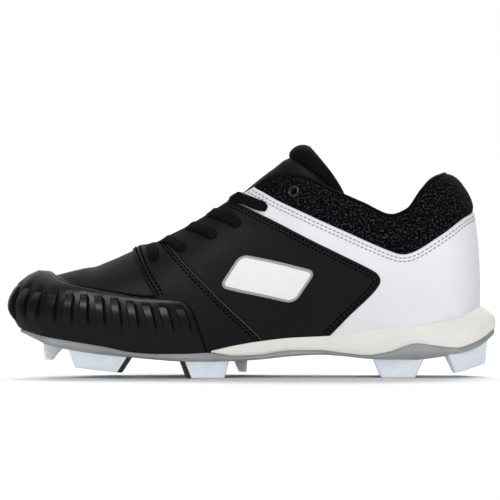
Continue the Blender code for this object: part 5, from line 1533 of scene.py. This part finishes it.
# Eyelets: the empty top hole on each side is lined by a ring of brass sheet, pressed to shape, closed
# through the leather and enamelled black.
EYELET_PROFILE = ((2.0, -2.4), (2.0, 0.2), (2.15, 0.75), (2.5, 1.1), (3.0, 1.15), (3.45, 0.9), (3.65, 0.4),
                  (3.65, -0.3))
# Dark grey, not black: a painted highlight over the whole ring.
ENAMEL_HIGHLIGHT_GREY = "2a2a2c"
ENAMEL_RIPPLE_MM = 1.5

# Enamelled brass: a hard glossy black coat that throws small bright highlights. Its colour is painted dark
# grey rather than black, a painted highlight spread over the whole ring.
black_enamel, tree = new_finish("black_enamelled_brass")
place = add_node(tree, "TexCoord").outputs["Object"]
ripple = add_node(tree, "TexNoise", {"Vector": place, "Scale": per_mm(ENAMEL_RIPPLE_MM), "Detail": 2.0})
gloss = add_node(tree, "MapRange", {0: ripple.outputs["Fac"], 1: 0.3, 2: 0.7, 3: 0.12, 4: 0.22})
shader = add_node(tree, "BsdfPrincipled", {
    "Base Color": linear(ENAMEL_HIGHLIGHT_GREY), "Roughness": gloss.outputs[0], "IOR": 1.55, "Coat Weight": 0.5,
    "Coat Roughness": 0.08})
add_node(tree, "OutputMaterial", {"Surface": shader.outputs[0]})

for side in SIDES:
    spot, out = eyelet_frame(side, EYELETS[-1])
    turn = np.array(Vector(out).to_track_quat("Z", "Y").to_matrix())
    around = np.linspace(0, 2 * math.pi, 41)[:-1]
    rings = [[turn @ (r * math.cos(t), r * math.sin(t), h) + spot for r, h in EYELET_PROFILE] for t in around]
    faces = quads(len(around), len(EYELET_PROFILE), rows_joined=True, ring=True)
    add_piece(f"eyelet_ring_{SIDE_NAMES[side]}", np.concatenate(rings), faces, [black_enamel],
              [f"eyelet_{SIDE_NAMES[side]}"], sharp=60)


# Lace: one flat-oval woven lace. It lies as a bar over the lowest holes, goes in through each hole
# from outside, comes up from under the throat's edge and crosses to the next hole. Its hidden ends
# stop inside the highest laced holes.
LACE_BLACK = "050506"
LACE_SPECK = "28282b"
LACE_WIDTH = 6.8
LACE_THICK = 2.3
LACE_PAST_HOLE = 3.0
LACE_ROWS = table("edge middle lift", (
    (1.5, 1.5, 0.2), (10.0, 10.5, 0.4), (12.5, 13.5, 0.8), (13.5, 14.5, 1.2), (15.0, 16.0, 2.5),
))
LACE_OUTER_DROP = 0.9
LACED = 5
LACE_BRAID_MM = 1.6
LACE_FLECK_MM = 0.625

# Woven lace: crossed diagonal ribs of matt polyester with a few paler filaments.
woven_lace, tree = new_finish("black_woven_lace")
place = add_node(tree, "UVMap", uv_map="pattern").outputs[0]
diagonals = []
for turn in (0.8, -0.8):
    turned = add_node(tree, "Mapping", {"Vector": place, "Rotation": (0, 0, turn)})
    diagonals.append(add_node(tree, "TexWave", {
        "Vector": turned.outputs[0], "Scale": WAVE_BAND / LACE_BRAID_MM, "Distortion": 0.4}))
ribs = add_node(tree, "Math", {0: diagonals[0].outputs["Fac"], 1: diagonals[1].outputs["Fac"]},
                operation="MAXIMUM")
speck = add_node(tree, "TexNoise", {"Vector": place, "Scale": 1 / LACE_FLECK_MM, "Detail": 2.0})
fleck = add_node(tree, "MapRange", {0: speck.outputs["Fac"], 1: 0.52, 2: 0.7, 3: 0.0, 4: 1.0})
colour = add_node(tree, "Mix", {0: fleck.outputs[0], 6: linear(LACE_BLACK), 7: linear(LACE_SPECK)},
                  data_type="RGBA")
bump = add_node(tree, "Bump", {"Strength": 0.6, "Distance": 0.0004, "Height": ribs.outputs[0]})
shader = add_node(tree, "BsdfPrincipled", {
    "Base Color": colour.outputs[2], "Roughness": 0.75, "Specular IOR Level": 0.15, "Sheen Weight": 0.01,
    "Sheen Roughness": 0.4, "Normal": bump.outputs[0]})
add_node(tree, "OutputMaterial", {"Surface": shader.outputs[0]})

tongue_z = smooth(np.array(TONGUE)[:TONGUE_ROLL_ROW, 0], np.array(TONGUE)[:TONGUE_ROLL_ROW, 1])


def lace_stop(side, u, s, offset, wide=1.0, thick=1.0, turn=None, turned=0.0):
    """A point of the lace on the upper: its place, the way its flat faces, and its size there."""
    u, s = np.array([u]), np.array([s])
    out = normals(side, u, s)[0]
    if turn is not None:
        out = out * (1 - turned) + turn * turned
    return (*skin(side, u, s, np.array([offset]))[0], *out, wide, thick)


def lace_into(side, row):
    """Over the throat's edge, down the eyestay to just past the hole, and back into it."""
    u, z = EYELETS[row]
    s = rise_at(side, np.array([u]), z)[0]
    shift = LACE_ROWS["edge"][row]
    ends = last(side, np.array([u - shift, u]), np.array([0.995, s]))
    down = unit(ends[1] - ends[0])
    past = LACE_PAST_HOLE / np.linalg.norm(ends[1] - ends[0])

    def stop(share, offset, wide=1.0, thick=1.0, turned=0.0):
        return lace_stop(side, u - shift * share, s + (0.995 - s) * share, offset, wide, thick, down, turned)

    low = LACE_OUTER_DROP * (side == LATERAL)
    lift = LACE_ROWS["lift"][row]
    return [stop(1.0, lift - low), stop(0.8, 2.0 + 0.3 * lift - low), stop(0.5, 2.8), stop(0.2, 2.9),
            stop(-0.4 * past, 2.7, 0.92, 1.0, 0.1), stop(-past, 1.6, 0.66, 1.1, 0.6),
            stop(-0.5 * past, 0.0, 0.62, 1.0, 1.0), stop(0.0, -2.4, 0.6, 1.0, 1.0)]


def lace_across(side, row):
    """From inside a hole up under the throat's edge and over the tongue towards the other side."""
    u, z = EYELETS[row]
    s = rise_at(side, np.array([u]), z)[0]
    depth = -UPPER_WALL - 1.0
    stops = [lace_stop(side, u - 2.0, s + (1 - s) * 0.25, depth, 0.8, 0.5)]
    stops.append(lace_stop(side, u - 5.5, s + (1 - s) * 0.8, depth, 0.9, 0.5))
    next_u = EYELETS[row + 1][0]
    middle_x = next_u - LACE_ROWS["middle"][row + 1]
    middle_y = float(crest_y(middle_x))
    over = 1.8 if side == LATERAL else 0.0
    reach = float(section["edge_reach"](middle_x - 4.0)) - 4.5
    rise = np.array([-0.5, 0, 0.86])
    low_z = float(tongue_z(middle_x - 3.5)) - 0.4
    stops.append((middle_x - 3.5, middle_y + side * reach, low_z, *rise, 1.0, 0.9))
    stops.append((middle_x, middle_y, float(tongue_z(middle_x)) + over, *rise, 1.0, 1.0))
    return stops


def lace_strand(side):
    """Half of the lace, from the middle of the bar to its hidden end."""
    x = EYELETS[0][0] - LACE_ROWS["middle"][0]
    stops = [(x, float(crest_y(x)), float(tongue_z(x)) + 1.8, -0.4, 0, 0.9, 1.0, 1.0)]
    for row in range(LACED):
        stops += lace_into(side, row)
        if row < LACED - 1:
            stops += lace_across(side, row)
            side = -side
    return np.array(stops)


lace_route = np.concatenate([lace_strand(LATERAL)[:0:-1], lace_strand(MEDIAL)])
lace_line = round_line(lace_route, 9)
lace_path, lace_out = lace_line[:, :3], lace_line[:, 3:6]
forward = unit(np.gradient(lace_path, axis=0))
flat_way = unit(np.cross(forward, lace_out))
face_way = np.cross(flat_way, forward)
turns = np.linspace(0, 2 * math.pi, 21)[:-1]
wide = np.sign(np.cos(turns)) * np.abs(np.cos(turns)) ** 0.75 * LACE_WIDTH / 2
thick = np.sign(np.sin(turns)) * np.abs(np.sin(turns)) ** 0.8 * LACE_THICK / 2
lace_rings = (lace_path[:, None] + flat_way[:, None] * (wide * lace_line[:, 6:7])[..., None]
              + face_way[:, None] * (thick * lace_line[:, 7:8])[..., None])
run = lengths_along(lace_path)[:, None]
add_piece("lace", lace_rings, tube(*lace_rings.shape[:2]), [woven_lace],
          ["lace_bar", "lace_cross_1", "lace_cross_2", "lace_cross_3", "lace_cross_4"],
          pattern=np.stack([run + 0 * turns, wide + 0 * run], axis=-1), sharp=80)


# Studio: a pale floor, wide soft lights overhead and in front, and a long lens level with the shoe.
# None of it is part of the shoe.
FLOOR_WHITE = "f5f5f5"
FLOOR_SPECK_MM = 40
floor_paint, tree = new_finish("matt_floor_paint")
place = add_node(tree, "TexCoord").outputs["Object"]
speck = add_node(tree, "TexNoise", {"Vector": place, "Scale": per_mm(FLOOR_SPECK_MM), "Detail": 2.0})
gloss = add_node(tree, "MapRange", {0: speck.outputs["Fac"], 1: 0.3, 2: 0.7, 3: 0.85, 4: 0.95})
shader = add_node(tree, "BsdfPrincipled", {
    "Base Color": linear(FLOOR_WHITE), "Roughness": gloss.outputs[0], "Specular IOR Level": 0.2})
add_node(tree, "OutputMaterial", {"Surface": shader.outputs[0]})
floor_mesh = bpy.data.meshes.new("studio_floor")
bm = bmesh.new()
bmesh.ops.create_circle(bm, cap_ends=True, segments=64, radius=6.0)
bm.to_mesh(floor_mesh)
bm.free()
floor_mesh.materials.append(floor_paint)
floor = bpy.data.objects.new("studio_floor", floor_mesh)
bpy.context.scene.collection.objects.link(floor)
floor.location = (0, 0, -0.0002)
floor.visible_glossy = False

world = bpy.data.worlds.new("studio")
bpy.context.scene.world = world
world.use_nodes = True
tree = world.node_tree
tree.nodes.clear()
seen = add_node(tree, "LightPath").outputs["Is Camera Ray"]
way = add_node(tree, "SeparateXYZ", {0: add_node(tree, "TexCoord").outputs["Generated"]})
wall = add_node(tree, "MapRange", {0: way.outputs["Y"], 1: -0.1, 2: 0.8, 3: 0.08, 4: 0.85})
above = add_node(tree, "MapRange", {0: way.outputs["Z"], 1: -0.03, 2: 0.03, 3: 0.0, 4: 1.0})
toe_side = add_node(tree, "MapRange", {0: way.outputs["X"], 1: -0.95, 2: -0.3, 3: 0.25, 4: 1.0})
dimmed = add_node(tree, "Math", {0: wall.outputs[0], 1: toe_side.outputs[0]}, operation="MULTIPLY")
room = add_node(tree, "Mix", {0: above.outputs[0], 2: 0.2, 3: dimmed.outputs[0]})
strength = add_node(tree, "Mix", {0: seen, 2: room.outputs[0], 3: 1.0})
backdrop = add_node(tree, "Background", {"Color": linear("ffffff"), "Strength": strength.outputs[0]})
add_node(tree, "OutputWorld", {"Surface": backdrop.outputs[0]})

# The white room gives two wide even lights: one from behind and above, which throws the soft shadow
# forward, and a low one from the front. Their own reflections are kept out of the gloss.
ROOM_LIGHTS = (("back_ceiling", -50.0, 52.0, 3.5), ("front_wall", 80.0, 60.0, 2.15))
for name, lean, spread, power in ROOM_LIGHTS:
    lamp = bpy.data.lights.new(name, "SUN")
    lamp.energy, lamp.angle = power, math.radians(spread)
    light = bpy.data.objects.new(name, lamp)
    light.rotation_euler = (math.radians(lean), 0, 0)
    light.visible_glossy = False
    bpy.context.scene.collection.objects.link(light)

LIGHTS = (
    ("softbox", (-0.15, -0.7, 1.1), (-0.04, 0.0, 0.06), 0.5, 3.5),
    ("heel_side", (1.2, -0.9, 1.1), (0.05, 0.0, 0.06), 0.5, 2.0),
)
for name, spot, aim, size, power in LIGHTS:
    lamp = bpy.data.lights.new(name, "AREA")
    lamp.shape, lamp.size, lamp.energy = "DISK", size, power
    light = bpy.data.objects.new(name, lamp)
    bpy.context.scene.collection.objects.link(light)
    light.location = spot
    light.rotation_euler = (Vector(aim) - Vector(spot)).to_track_quat("-Z", "Y").to_euler()

VIEW_WIDTH = 0.2935
VIEW_CENTRE = (-0.0012, -0.04, 0.0754)
VIEW_DISTANCE = 12.0
VIEW_HEIGHT_DEG = 1.5
lens = bpy.data.cameras.new("studio_camera")
lens.sensor_width = 36.0
lens.lens = lens.sensor_width * VIEW_DISTANCE / VIEW_WIDTH
camera = bpy.data.objects.new("studio_camera", lens)
bpy.context.scene.collection.objects.link(camera)
tilt = math.radians(VIEW_HEIGHT_DEG)
camera.location = Vector(VIEW_CENTRE) + Vector((0, -math.cos(tilt), math.sin(tilt))) * VIEW_DISTANCE
camera.rotation_euler = (math.pi / 2 - tilt, 0, 0)
bpy.context.scene.camera = camera
bpy.context.scene.view_settings.view_transform = "Standard"
